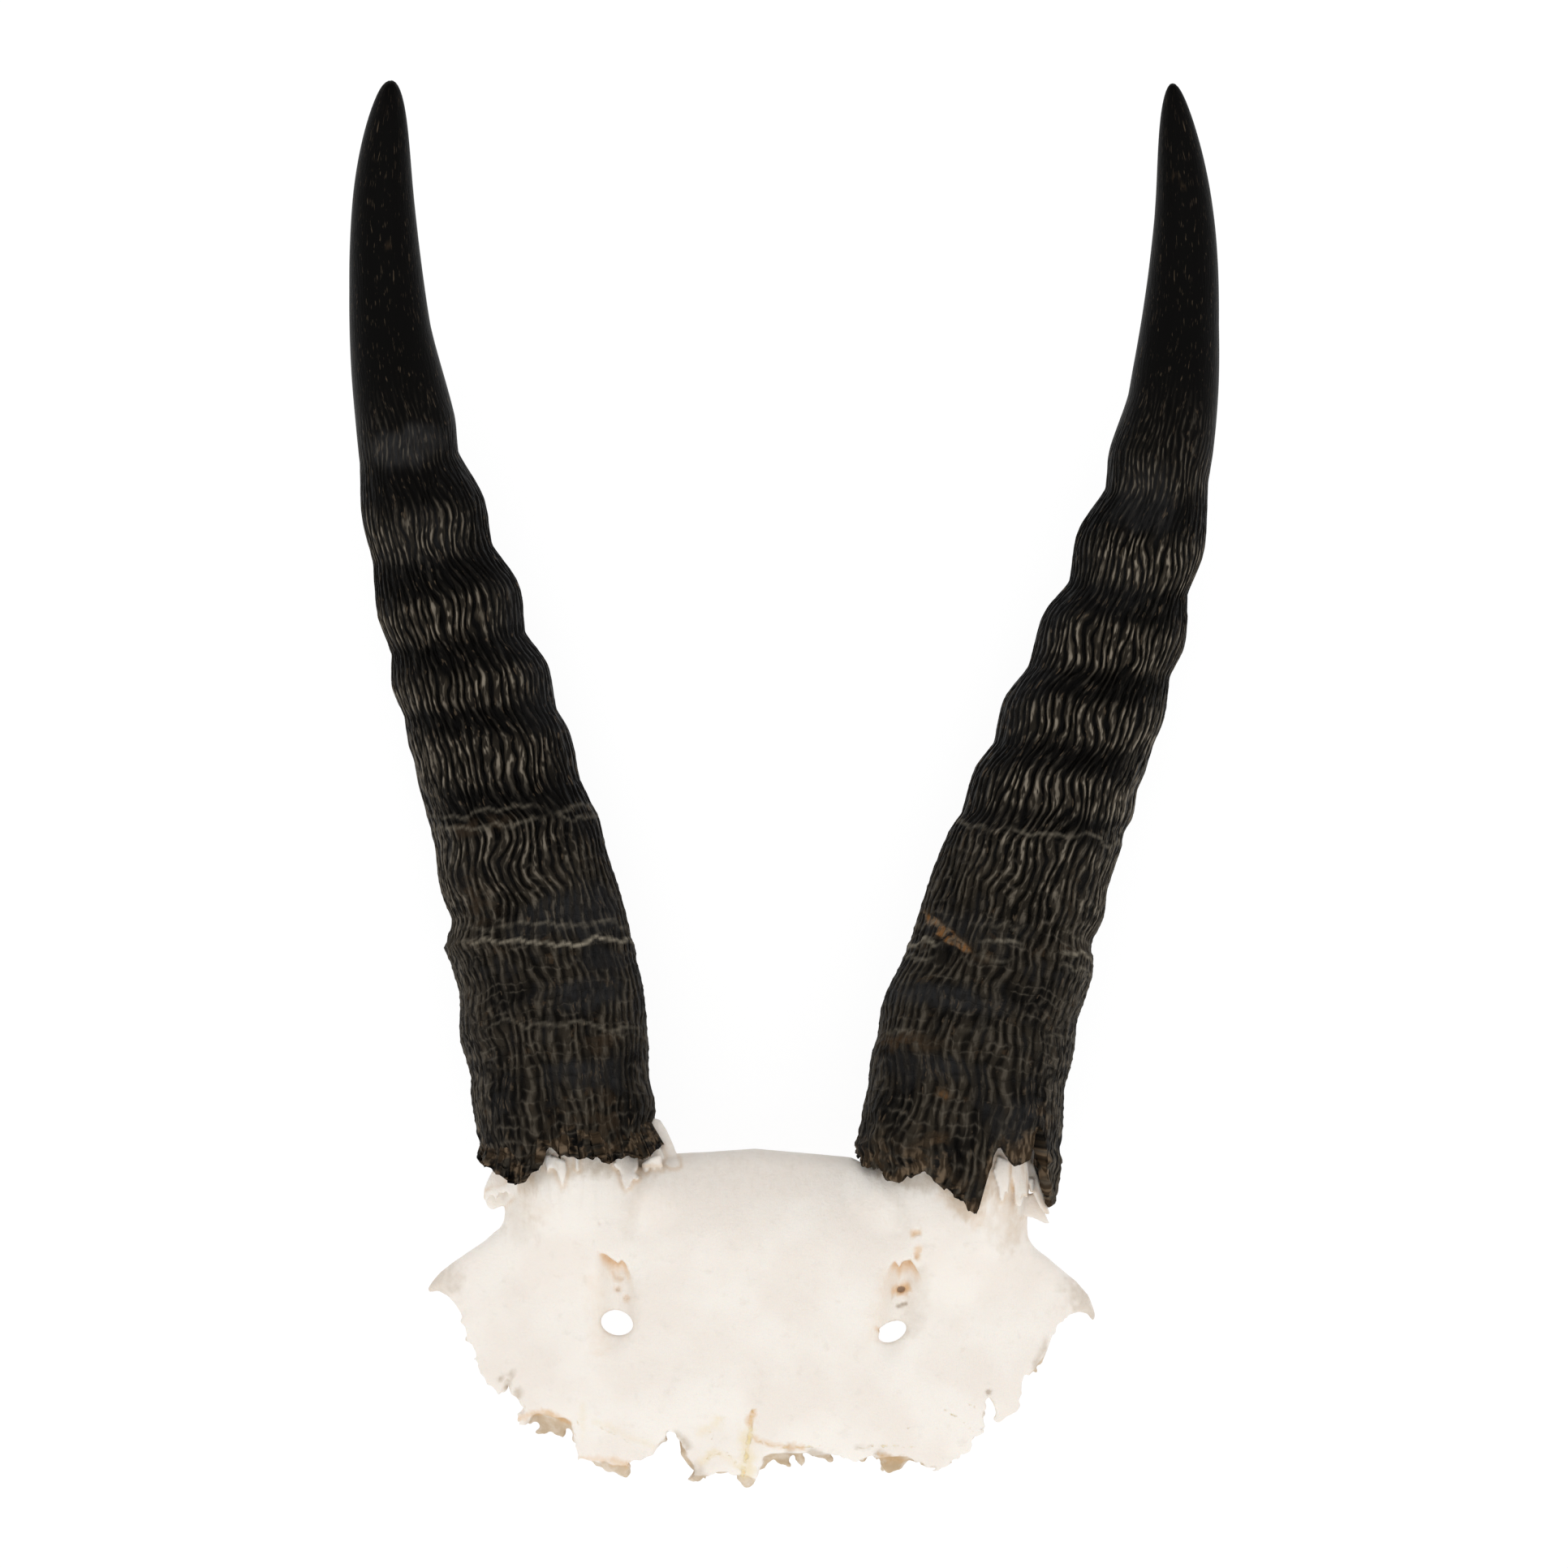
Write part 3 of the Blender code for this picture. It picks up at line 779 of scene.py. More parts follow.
@dataclass(frozen=True)
class HornShape:
    """The shape of one horn.

    side is -1 for the left horn and 1 for the right one.  spine lists (y, x, z) along its
    middle.  neck and stoutness widen the core and the base of the sheath.  inner_edge and
    outer_edge list the (y, stand-out) of the crests and creases of the growth rings on either
    side.  tilts are how far a ring climbs from its inner side to its front, near the tip and
    near the base.  rim lists (angle, drop) round the ragged mouth, with angle 0 on the inner
    side and 90 in front.  seams are the (y, strength) of pale growth lines.  The share after
    the seed scales how far its fibres are pale from abrasion and from the painted highlight
    on their crests.
    """

    node: str
    side: int
    spine: Points
    neck: float
    stoutness: float
    rim_y: float
    inner_edge: Points
    outer_edge: Points
    tilts: tuple[float, float]
    rim: Points
    seams: Points
    patches: tuple[Patch, ...]
    seed: int
    worn_and_highlit: float = 1.0

    tip_growth: float = 1.43
    tip_power: float = 0.413
    swell: float = 2.9
    swell_start: float = 48.0
    swell_run: float = 60.0
    stout_start: float = 112.0
    stout_run: float = 34.0
    tilt_start_y: float = 10.0
    tilt_run: float = 25.0
    ringed_y: tuple[float, float] = (-34.0, 62.0)
    core_foot_y: float = -84.0
    core_mouth_y: float = -60.0
    core_end_y: float = 0.0
    core_foot_radius: float = 8.4
    core_neck_radius: float = 10.6
    core_end_radius: float = 5.0
    core_taper: float = 1.4
    step: float = 0.5
    rim_ragged: float = 0.34
    rim_noise: HornNoise = HornNoise(12.0, 1.0, 0, 3)

    def noise(self, kind: HornNoise, angle: np.ndarray, y: np.ndarray) -> np.ndarray:
        """Noise about 0 that meets itself round the horn."""
        around = np.cos(angle) * kind.radius, np.sin(angle) * kind.radius
        return rough_noise(*around, y / kind.pitch, self.seed + kind.seed, kind.octaves)

    def middle(self, y: np.ndarray) -> np.ndarray:
        """The points of the spine at y."""
        x, z = np.moveaxis(through(self.spine, y), -1, 0)
        return np.stack((x, np.broadcast_to(y, x.shape), z), axis=-1)

    def across(self, y: np.ndarray) -> tuple[np.ndarray, np.ndarray]:
        """Two unit vectors square to the spine at y: towards the midline, and to the front."""
        along = self.middle(y + self.step) - self.middle(y - self.step)
        along /= np.linalg.norm(along, axis=-1, keepdims=True)
        inner = np.zeros_like(along)
        inner[..., 0] = -self.side
        inner -= np.sum(inner * along, axis=-1, keepdims=True) * along
        inner /= np.linalg.norm(inner, axis=-1, keepdims=True)
        front = np.cross(inner, along)
        front *= np.sign(front[..., 2:])
        return inner, front

    def around(self, y: np.ndarray, radius: np.ndarray, angle: np.ndarray) -> np.ndarray:
        """The points at an angle and a radius round the spine."""
        inner, front = self.across(y)
        ray = inner * np.cos(angle)[..., None] + front * np.sin(angle)[..., None]
        return self.middle(y) + ray * radius[..., None]

    def sheath_radius(self, y: np.ndarray) -> np.ndarray:
        """The radius of the sheath without its rings."""
        reach = np.maximum(self.spine[-1][0] - y, 0.0)
        radius = self.tip_growth * reach**self.tip_power
        radius = radius + self.swell * smooth_step((reach - self.swell_start) / self.swell_run)
        return radius + self.stoutness * smooth_step((reach - self.stout_start) / self.stout_run)

    def core_radius(self, y: np.ndarray) -> np.ndarray:
        """The radius of the bone core, which swells to its neck and tapers in the sheath."""
        neck = self.core_neck_radius + self.neck
        rise = smooth_step(2.0 * (y - self.core_foot_y) / (self.core_mouth_y - self.core_foot_y))
        share = np.clip((y - self.core_mouth_y) / (self.core_end_y - self.core_mouth_y), 0.0, 1.0)
        foot = self.core_foot_radius + (neck - self.core_foot_radius) * rise
        tapered = neck + (self.core_end_radius - neck) * share**self.core_taper
        return np.where(y < self.core_mouth_y, foot, tapered)

    def tilt(self, y: np.ndarray) -> np.ndarray:
        """How far a ring at y climbs from its inner side to its front."""
        upper, lower = self.tilts
        return lower + (upper - lower) * smooth_step((y - self.tilt_start_y) / self.tilt_run)

    def level(self, y: np.ndarray, angle: np.ndarray) -> np.ndarray:
        """The y at which the inner side has the ring that crosses a point."""
        return y - self.tilt(y) * (1.0 - np.cos(angle))

    def ring_swell(self, y: np.ndarray, angle: np.ndarray) -> np.ndarray:
        """How far the growth rings stand out."""
        inward = 0.5 + 0.5 * np.cos(angle)
        level = self.level(y, angle)
        inner = edge_swell(self.inner_edge, level)
        outer = edge_swell(self.outer_edge, level + 2.0 * self.tilt(y))
        return inward * inner + (1.0 - inward) * outer

    def ring_count(self, level: np.ndarray) -> np.ndarray:
        """A count along the horn that is a whole number at each ring's crest."""
        edge = self.inner_edge
        rows = [b[0] for a, b, c in zip(edge, edge[1:], edge[2:]) if b[1] > max(a[1], c[1])]
        crests = [y for y in rows if self.ringed_y[0] < y < self.ringed_y[1]]
        return np.interp(level, crests, np.arange(len(crests), dtype=float))

    def rim_drop(self, angle: np.ndarray) -> np.ndarray:
        """How far the ragged mouth hangs below its line at an angle."""
        turn = np.degrees(angle) % 360.0
        angles, drops = np.array(self.rim).T
        smooth = np.interp(turn, angles, drops, period=360.0)
        return smooth + self.rim_ragged * self.noise(self.rim_noise, angle, np.zeros_like(angle))


def edge_swell(points: Points, y: np.ndarray) -> np.ndarray:
    """Read a row of crests and creases: crests are rounded, and creases are sharper.

    Args:
        points: The (y, height) of each crest and crease, in rising y.
        y: Where it is read.

    Returns:
        The height at each y.
    """
    rows = np.array(points)
    index = np.clip(np.searchsorted(rows[:, 0], y) - 1, 0, len(rows) - 2)
    (start_y, start), (end_y, end) = np.moveaxis(rows[index], -1, 0), np.moveaxis(rows[index + 1], -1, 0)
    share = np.clip((y - start_y) / (end_y - start_y), 0.0, 1.0)
    climb = np.where(end > start, share, 1.0 - share)
    climb = 0.5 * (smooth_step(climb) + np.sin(0.5 * np.pi * climb))
    return np.minimum(start, end) + np.abs(end - start) * climb


LEFT = HornShape(
    node="horn_sheath_left",
    side=-1,
    spine=(
        (-84.0, -28.6, 11.5), (-72.0, -31.2, 15.6), (-60.0, -32.7, 17.2), (-31.0, -36.4, 14.6),
        (-7.0, -41.7, 13.3), (17.0, -48.9, 13.7), (41.0, -55.8, 16.0), (65.0, -60.1, 20.4),
        (89.0, -61.3, 28.0), (107.0, -59.9, 37.0),
    ),
    neck=0.0,
    stoutness=0.0,
    rim_y=-57.2,
    inner_edge=(
        (-64, -1.2), (-55, -1.8), (-50.4, -0.6), (-47.5, -1.0), (-33.5, 0.25), (-27, -0.1), (-23, 0.15),
        (-14, -0.3), (-10, -0.15), (-2.5, -1.1), (4.8, -0.2), (8.3, -0.75), (14.9, 0.5), (20.5, -0.75),
        (27.6, 1.25), (34.5, -0.1), (41.8, 1.3), (49.7, -0.2), (56, 0.75), (70, -0.1), (88, 0.0), (108, 0.0),
    ),
    outer_edge=(
        (-64, -1.8), (-58, -1.6), (-54, -1.1), (-46.2, -0.25), (-44, -0.5), (-37, 0.75), (-29.8, 0.0),
        (-22.7, 0.8), (-18.3, -0.7), (-12.5, 0.1), (-6, -0.6), (3.5, -0.25), (7, -0.45), (9.7, -0.2),
        (13.6, -0.5), (18.5, 0.5), (23.2, -0.4), (29.4, 0.6), (36.8, -0.1), (43.2, 0.65), (51, 0.0),
        (76, -0.15), (96, 0.15), (108, -0.2),
    ),
    tilts=(0.85, 2.4),
    rim=(
        (0, 1.3), (15, 1.2), (25, 1.7), (32, 1.7), (42, 1.7), (50, 1.1), (57, 1.2), (61, 1.6), (66, 1.3),
        (71, 0.8), (74, 1.0), (77, 0.6), (83, 0.7), (89, 0.0), (95, 0.2), (101, -1.1), (104, -0.9),
        (107, 0.6), (113, 1.6), (117, 1.7), (121, 2.8), (127, 3.2), (132, 2.8), (138, 1.7), (145, 1.5),
        (152, 0.7), (160, -0.6), (167, -1.7), (185, -0.2), (205, 2.0), (225, 0.8), (258, 3.0),
        (280, 0.8), (300, 1.6), (330, 1.2),
    ),
    seams=((-24.6, 0.3), (-27.3, 1.0), (-41.0, 0.3), (-6.6, 0.25), (-8.6, 0.3)),
    patches=(
        # The first patch is a painted grey highlight on the lower flank of the top ring; the other smooth
        # patches also carry a painted sheen.
        Patch(Tone.RUBBED_AND_SHEEN, 53.0, 88, 2.6, 38, 1.0), Patch(Tone.RUBBED_AND_SHEEN, 38.5, 95, 4.0, 34, 0.4),
        Patch(Tone.RUBBED_AND_SHEEN, 24.0, 25, 6.0, 26, 0.3), Patch(Tone.RUBBED_AND_SHEEN, 11.0, 25, 6.0, 28, 0.3),
        Patch(Tone.RUBBED_AND_SHEEN, -22.0, 55, 3.6, 36, 0.9), Patch(Tone.RUBBED_AND_SHEEN, -34.0, 66, 2.6, 26, 0.8),
        Patch(Tone.RUBBED_AND_SHEEN, -29.5, 48, 1.8, 22, 0.7), Patch(Tone.RUBBED_AND_SHEEN, -46.5, 70, 2.0, 22, 0.7),
        Patch(Tone.EARTHY, 83.6, 82, 0.3, 12, 0.7), Patch(Tone.EARTHY, 103.4, 98, 0.3, 16, 0.7),
        Patch(Tone.EARTHY, -17.0, 128, 3.0, 16, 0.35), Patch(Tone.EARTHY, -5.4, 112, 1.2, 20, 0.4),
        Patch(Tone.EARTHY, -52.0, 62, 2.6, 10, 0.45), Patch(Tone.EARTHY, -42.0, 62, 2.0, 8, 0.4),
    ),
    seed=11,
)
RIGHT = HornShape(
    node="horn_sheath_right",
    side=1,
    spine=(
        (-84.0, 21.6, 11.5), (-72.0, 24.6, 15.6), (-60.0, 26.5, 17.6), (-31.0, 31.7, 15.3),
        (-7.0, 39.6, 13.5), (17.0, 48.8, 13.7), (41.0, 56.1, 16.0), (65.0, 60.5, 20.4),
        (89.0, 60.8, 28.0), (107.0, 59.1, 37.0),
    ),
    neck=1.0,
    stoutness=1.2,
    rim_y=-57.9,
    inner_edge=(
        (-66, -0.3), (-58, -0.3), (-49, -0.2), (-44.8, 0.1), (-42, -0.15), (-37.3, 0.2), (-29.5, -1.4),
        (-13, -0.15), (-8.5, -0.9), (-2, -0.2), (2.2, -1.3), (8.7, 0.2), (14.6, -1.0), (22.5, 0.3),
        (28.7, -1.2), (36.5, 0.6), (44, -1.0), (50.5, 0.3), (59, -0.3), (63.5, -0.2), (87, -0.8), (108, -0.5),
    ),
    outer_edge=(
        (-66, -0.1), (-55.5, -0.3), (-52.5, -0.55), (-51, -0.45), (-44.5, -1.0), (-39, -0.3), (-33.5, -0.5),
        (-25.7, 0.5), (-20.5, -0.8), (-16, 0.1), (-12, -0.4), (-7, -0.2), (-3, -0.5), (-0.3, -0.05),
        (3.5, -0.75), (6.5, -0.5), (10.2, -0.55), (14, -0.05), (20, -0.7), (25.2, 0.45), (32, -0.6),
        (39, 0.75), (48.5, -0.05), (53, 0.15), (71, -0.3), (86, 0.05), (108, -0.6),
    ),
    tilts=(1.35, 2.8),
    rim=(
        (0, 1.7), (12, 2.2), (20, 2.6), (28, 2.4), (35, 1.9), (42, 1.9), (46, 2.6), (50, 3.0), (55, 2.9),
        (60, 2.2), (64, 1.3), (70, 0.7), (75, 1.6), (80, 2.5), (84, 2.5), (87, 3.6), (94, 3.6), (97, 4.5),
        (100, 5.0), (104, 5.2), (105.5, 0.0), (109, -1.5), (112, -2.8), (115, -2.5), (120, -1.0),
        (127, -1.3), (133, -2.6), (138, -6.0), (142, -5.8), (146, -3.8), (151, -0.3), (158, 3.7), (165, 4.8),
        (172, 3.0), (179, 0.8), (190, -0.6), (215, 2.2), (245, 0.6), (290, 2.8), (330, 1.2),
    ),
    seams=((-25.9, 0.25), (-28.4, 0.75), (-30.6, 0.35), (-10.6, 0.35), (-42.5, 0.2)),
    patches=(
        # The smooth patches carry a painted grey sheen.
        Patch(Tone.RUBBED_AND_SHEEN, 44.5, 80, 4.4, 32, 0.6), Patch(Tone.RUBBED_AND_SHEEN, 31.0, 78, 4.0, 34, 0.3),
        Patch(Tone.RUBBED_AND_SHEEN, 24.0, 22, 6.0, 26, 0.25), Patch(Tone.RUBBED_AND_SHEEN, 10.0, 24, 6.0, 28, 0.25),
        Patch(Tone.RUBBED_AND_SHEEN, -25.0, 62, 2.2, 26, 0.6), Patch(Tone.RUBBED_AND_SHEEN, -35.5, 62, 1.6, 34, 0.9),
        Patch(Tone.RUBBED_AND_SHEEN, -46.0, 60, 1.6, 26, 0.6), Patch(Tone.RUBBED_AND_SHEEN, -52.0, 118, 3.0, 14, 0.7),
        Patch(Tone.EARTHY, -26.0, 46, 0.9, 30, 1.0, -0.07), Patch(Tone.EARTHY, -42.8, 38, 1.2, 26, 0.6),
        Patch(Tone.EARTHY, 94.3, 78, 0.3, 12, 0.5), Patch(Tone.EARTHY, 92.9, 96, 0.4, 6, 0.4),
        Patch(Tone.EARTHY, -49.5, 76, 0.9, 5, 0.7), Patch(Tone.EARTHY, -55.0, 78, 0.9, 5, 0.6),
    ),
    seed=23,
    worn_and_highlit=1.3,
)
HORNS = (LEFT, RIGHT)


@dataclass
class HornSheath:
    """One horn sheath, open at its ragged mouth, with its rings, fibres and growth lines.

    Each span says where a change starts and where it is complete: along the horn in
    millimetres, or for its front and its curtain of fine lines, round it in degrees.
    """

    shape: HornShape
    sides: int = 288
    fine_row: float = 0.43
    coarse_row: float = 1.1
    fine_end_y: float = 60.0
    tip_rows: tuple[float, ...] = (3.2, 2.2, 1.4, 0.8, 0.35, 0.1)
    tip_gap: float = 0.6
    lip_overhang: float = 0.3
    socket_rows: int = 7
    rim_thickness: float = 1.3
    mouth_depth: float = 12.0
    lobe_reach: float = 12.0
    sheath_gap: float = 0.4
    lump_height: float = 0.34
    crust_height: float = 0.6
    crust_reach: float = 9.0
    fibre_bend: float = 0.045
    strand_height: float = 0.26
    bead_height: float = 0.25
    course_height: float = 0.1
    seam_step: float = 0.4
    seam_slopes: Span = (3.0, 0.8)
    seam_widths: Span = (0.5, 0.4)
    fibre_stray: float = 0.05
    ring_phase: float = 0.2
    mouth_reach: float = 5.5
    mouth_ragged: float = 3.0

    lump_span: Span = (30.0, -30.0)
    bend_foot: Span = (-30.0, -5.0)
    bend_top: Span = (62.0, 50.0)
    ring_top: Span = (62.0, 28.0)
    ring_foot: Span = (-34.0, -18.0)
    weather_span: Span = (-2.0, -24.0)
    flank_foot: Span = (-4.0, -14.0)
    cover_span: Span = (-14.0, -28.0)
    wear_top: Span = (66.0, 26.0)
    front_start: Span = (22.0, 67.0)
    front_end: Span = (206.0, 156.0)
    curtain_start: Span = (128.0, 158.0)
    curtain_end: Span = (215.0, 185.0)
    curtain_top: Span = (34.0, 0.0)

    lump_noise: HornNoise = HornNoise(1.7, 6.5, 40)
    knob_noise: HornNoise = HornNoise(7.0, 1.8, 80)
    seam_wave_noise: HornNoise = HornNoise(3.5, 1.0, 7)
    seam_rib_noise: HornNoise = HornNoise(10.0, 1.0, 8, 1)
    seam_break_noise: HornNoise = HornNoise(2.2, 30.0, 3, 1)
    stray_noise: HornNoise = HornNoise(1.4, 7.0, 5)
    patch_noise: HornNoise = HornNoise(5.0, 2.5, 60)
    mouth_noise: HornNoise = HornNoise(3.0, 3.0, 9)

    def rows(self) -> np.ndarray:
        """Distances along the horn of the rings of points, from the mouth to the tip."""
        tip = self.shape.spine[-1][0]
        fine = np.arange(self.shape.rim_y, self.fine_end_y, self.fine_row)
        coarse_end = tip - self.tip_rows[0] - self.tip_gap
        coarse = np.arange(fine[-1] + self.coarse_row, coarse_end, self.coarse_row)
        return np.concatenate((fine, coarse, tip - np.array(self.tip_rows)))

    def socket_radius(self, y: np.ndarray) -> np.ndarray:
        """The radius of the socket, which follows the core and flares out to the thin rim."""
        snug = self.shape.core_radius(y) + self.sheath_gap
        flare = np.clip(1.0 - (y - self.shape.rim_y) / self.mouth_depth, 0.0, 1.0)
        return snug + (self.shape.sheath_radius(y) - self.rim_thickness - snug) * flare**2

    def levels(self, rows: np.ndarray, angles: np.ndarray) -> np.ndarray:
        """The distance along the horn of each point, lowered towards the ragged rim."""
        share = np.clip(1.0 - (rows - self.shape.rim_y) / self.lobe_reach, 0.0, None)
        return rows[:, None] - share[:, None] * self.shape.rim_drop(angles)[None, :]

    def swell(self, y: np.ndarray, angle: np.ndarray) -> np.ndarray:
        """How far each point stands out for the rings, seams and lumps.

        Args:
            y: The points' distances along the horn.
            angle: Their angles round it.

        Returns:
            Heights in millimetres.
        """
        shape = self.shape
        facing = 0.25 + 0.75 * np.abs(np.sin(angle))
        lumps = self.lump_height * shape.noise(self.lump_noise, angle, y)
        lumps = lumps * (0.1 + fade(y, *self.lump_span)) * facing
        steps = 0.0
        for seam, strength in shape.seams:
            off = y - self.seam_level(seam, angle)
            steps = steps + self.seam_step * strength * bump(off, *self.seam_slopes)
        near_rim = smooth_step(1.0 - (y - shape.rim_y) / self.crust_reach)
        crust = self.crust_height * near_rim * shape.noise(self.knob_noise, angle, y)
        return shape.ring_swell(y, angle) + lumps + steps + crust

    def seam_level(self, seam: float, angle: np.ndarray) -> np.ndarray:
        """The wavy course of a growth line round the horn.

        Args:
            seam: Where it starts, on the inner side.
            angle: Where round the horn it is read.

        Returns:
            Its distance along the horn at each angle.
        """
        shape, start = self.shape, np.full_like(angle, seam)
        wave = 0.8 * shape.noise(self.seam_wave_noise, angle, start)
        wave = wave + 0.5 * shape.noise(self.seam_rib_noise, angle, start)
        return seam + shape.tilt(np.array(seam)) * (1.0 - np.cos(angle)) + wave

    def seam_light(self, y: np.ndarray, angle: np.ndarray) -> np.ndarray:
        """How strongly a pale growth line shows.

        Args:
            y: The points' distances along the horn.
            angle: Their angles round it.

        Returns:
            Shares from 0 to 1.
        """
        broken = smooth_step(0.85 + 1.3 * self.shape.noise(self.seam_break_noise, angle, y))
        light = 0.0
        for seam, strength in self.shape.seams:
            off = y - self.seam_level(seam, angle)
            light = np.maximum(light, strength * bump(off, *self.seam_widths))
        return light * broken

    def grain(self, y: np.ndarray, angle: np.ndarray) -> np.ndarray:
        """Where each point lies in the grain: the fibres bend as they cross the rings.

        Args:
            y: The points' distances along the horn.
            angle: Their angles round it.

        Returns:
            The cosine and sine of each point's angle in the grain, and its distance along the horn.
        """
        shape = self.shape
        ringed = fade(y, *self.bend_foot) * fade(y, *self.bend_top)
        phase = 2.0 * np.pi * (shape.ring_count(shape.level(y, angle)) + self.ring_phase)
        bend = self.fibre_bend * np.sin(phase) * np.sin(angle) * ringed
        turn = angle + bend + self.fibre_stray * shape.noise(self.stray_noise, angle, y)
        return np.stack((np.cos(turn), np.sin(turn), y), axis=-1)

    def zone(self, y: np.ndarray, angle: np.ndarray) -> np.ndarray:
        """How far each point belongs to the zones of the horn.

        Args:
            y: The points' distances along the horn.
            angle: Their angles round it.

        Returns:
            Three shares: how ringed, how weathered, and how far the fibres are pale from abrasion and from a
                painted highlight on the lower flank of each ring.
        """
        shape = self.shape
        turn = np.degrees(angle) % 360.0
        ringed = fade(y, *self.ring_top) * (0.55 + 0.45 * fade(y, *self.ring_foot))
        weathered = fade(y, *self.weather_span)
        phase = 2.0 * np.pi * (shape.ring_count(shape.level(y, angle)) + self.ring_phase)
        # Painted highlight as well as wear: each ring is palest on its lower flank.
        flank = smooth_step(0.5 + 0.62 * np.cos(phase))
        flank = flank + (0.7 - flank) * fade(y, *self.flank_foot)
        facing = 0.12 + 0.88 * fade(turn, *self.front_start) * fade(turn, *self.front_end)
        covered = 1.0 - 0.85 * fade(y, *self.cover_span)
        wear_and_highlight = shape.worn_and_highlit * fade(y, *self.wear_top) * (0.08 + 0.92 * flank) * facing * covered
        return np.stack((ringed, weathered, np.minimum(wear_and_highlight, 1.0)), axis=-1)

    def tone(self, y: np.ndarray, angle: np.ndarray) -> np.ndarray:
        """What tones the horn has at each point.

        Args:
            y: The points' distances along the horn.
            angle: Their angles round it.

        Returns:
            Three shares: how smooth, with its painted sheen, how earthy, and how far the outer side's fine
                lines show.
        """
        turn = np.degrees(angle) % 360.0
        shares = {tone: np.zeros_like(angle) for tone in Tone}
        ragged = 0.25 * self.shape.noise(self.patch_noise, angle, y)
        for patch in self.shape.patches:
            aside = turn - patch.angle
            off = np.hypot((y - patch.y - patch.lean * aside) / patch.half_length, aside / patch.half_angle)
            share = patch.strength * smooth_step(1.6 - off + ragged)
            shares[patch.tone] = np.maximum(shares[patch.tone], share)
        curtain = fade(turn, *self.curtain_start) * fade(turn, *self.curtain_end)
        curtain = curtain * fade(y, *self.curtain_top)
        return np.stack((shares[Tone.RUBBED_AND_SHEEN], shares[Tone.EARTHY], curtain), axis=-1)

    def mouth(self, y: np.ndarray, angle: np.ndarray) -> np.ndarray:
        """How near each point is to the ragged brown rim.

        Args:
            y: The points' distances along the horn.
            angle: Their angles round it.

        Returns:
            Shares from 0 to 1, with 1 at the rim.
        """
        rim = self.shape.rim_y - self.shape.rim_drop(angle)
        reach = self.mouth_reach + self.mouth_ragged * self.shape.noise(self.mouth_noise, angle, y)
        return smooth_step(1.0 - (y - rim) / reach)

    def build(self, finish: KeratinFinish) -> bpy.types.Object:
        """Make the sheath and dress it.

        Args:
            finish: The horn's finish.

        Returns:
            The finished piece.
        """
        shape = self.shape
        angles = 2.0 * np.pi * np.arange(self.sides) / self.sides
        outside = self.rows()
        inside = np.linspace(shape.core_end_y + 2.0 * self.sheath_gap, shape.rim_y, self.socket_rows)
        lip = np.array([shape.rim_y - self.lip_overhang])
        rows = np.concatenate((inside, lip, outside))
        y = self.levels(rows, angles)
        angle = np.broadcast_to(angles, y.shape)
        is_inside = np.zeros(len(rows), bool)
        is_inside[: len(inside)] = True
        radius = shape.sheath_radius(y)
        radius[len(inside)] -= self.rim_thickness / 2.0
        radius = np.where(is_inside[:, None], self.socket_radius(y), radius)
        points = shape.around(y, radius, angle).reshape(-1, 3)

        swell = self.swell(y, angle)
        swell[: len(inside) - 1] = 0.0
        mouth = self.mouth(y, angle)
        mouth[is_inside] = 1.0
        piece = make_object(shape.node + "_keratin", *self.closed_tube(points, len(rows)))
        marks = {
            Mark.GRAIN: self.grain(y, angle),
            Mark.ZONE: self.zone(y, angle),
            Mark.TONE: self.tone(y, angle),
            Mark.LINE: self.seam_light(y, angle),
            Mark.SWELL: swell,
            Mark.MOUTH: mouth,
        }
        for name, values in marks.items():
            flat = values.reshape(len(rows) * self.sides, *values.shape[2:])
            mark(piece, name, np.concatenate((flat, flat[:1], flat[-1:])))
        self.raise_relief(piece, finish)
        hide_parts(shape.node)
        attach(piece, BODY)
        return piece

    def closed_tube(self, points: np.ndarray, rows: int) -> tuple[np.ndarray, list]:
        """Close a tube of rings with a fan at each end.

        Args:
            points: The points of the rings, ring after ring.
            rows: The number of rings.

        Returns:
            All points, and the faces, which point outwards.
        """
        sides = self.sides
        ends = (points[:sides].mean(axis=0), points[-sides:].mean(axis=0))
        index = np.arange(rows * sides).reshape(rows, sides)
        low, high = index[:-1], index[1:]
        quads = np.stack((low, np.roll(low, -1, axis=1), np.roll(high, -1, axis=1), high), axis=-1)
        first, last = rows * sides, rows * sides + 1
        start = [(int(b), int(a), first) for a, b in zip(index[0], np.roll(index[0], -1))]
        end = [(int(a), int(b), last) for a, b in zip(index[-1], np.roll(index[-1], -1))]
        faces = quads.reshape(-1, 4).tolist() + start + end
        if self.shape.side < 0:
            faces = [tuple(reversed(face)) for face in faces]
        return np.vstack((points, ends)), faces

    def raise_relief(self, piece: bpy.types.Object, finish: KeratinFinish) -> None:
        """Raise the rings, fibres and lines with Geometry Nodes, and set the finish."""
        tree = relief_tree(finish.pattern)
        modifier = piece.modifiers.new("keratin relief", "NODES")
        modifier.node_group = tree
        values = {
            "Swell": METRES,
            "Strand height": self.strand_height * METRES,
            "Bead height": self.bead_height * METRES,
            "Course height": self.course_height * METRES,
            "Finish": finish.material(),
        }
        for socket in tree.interface.items_tree:
            if socket.in_out == "INPUT" and socket.name in values:
                modifier[socket.identifier] = values[socket.name]
        settle(piece)
        keep_in_box(piece)


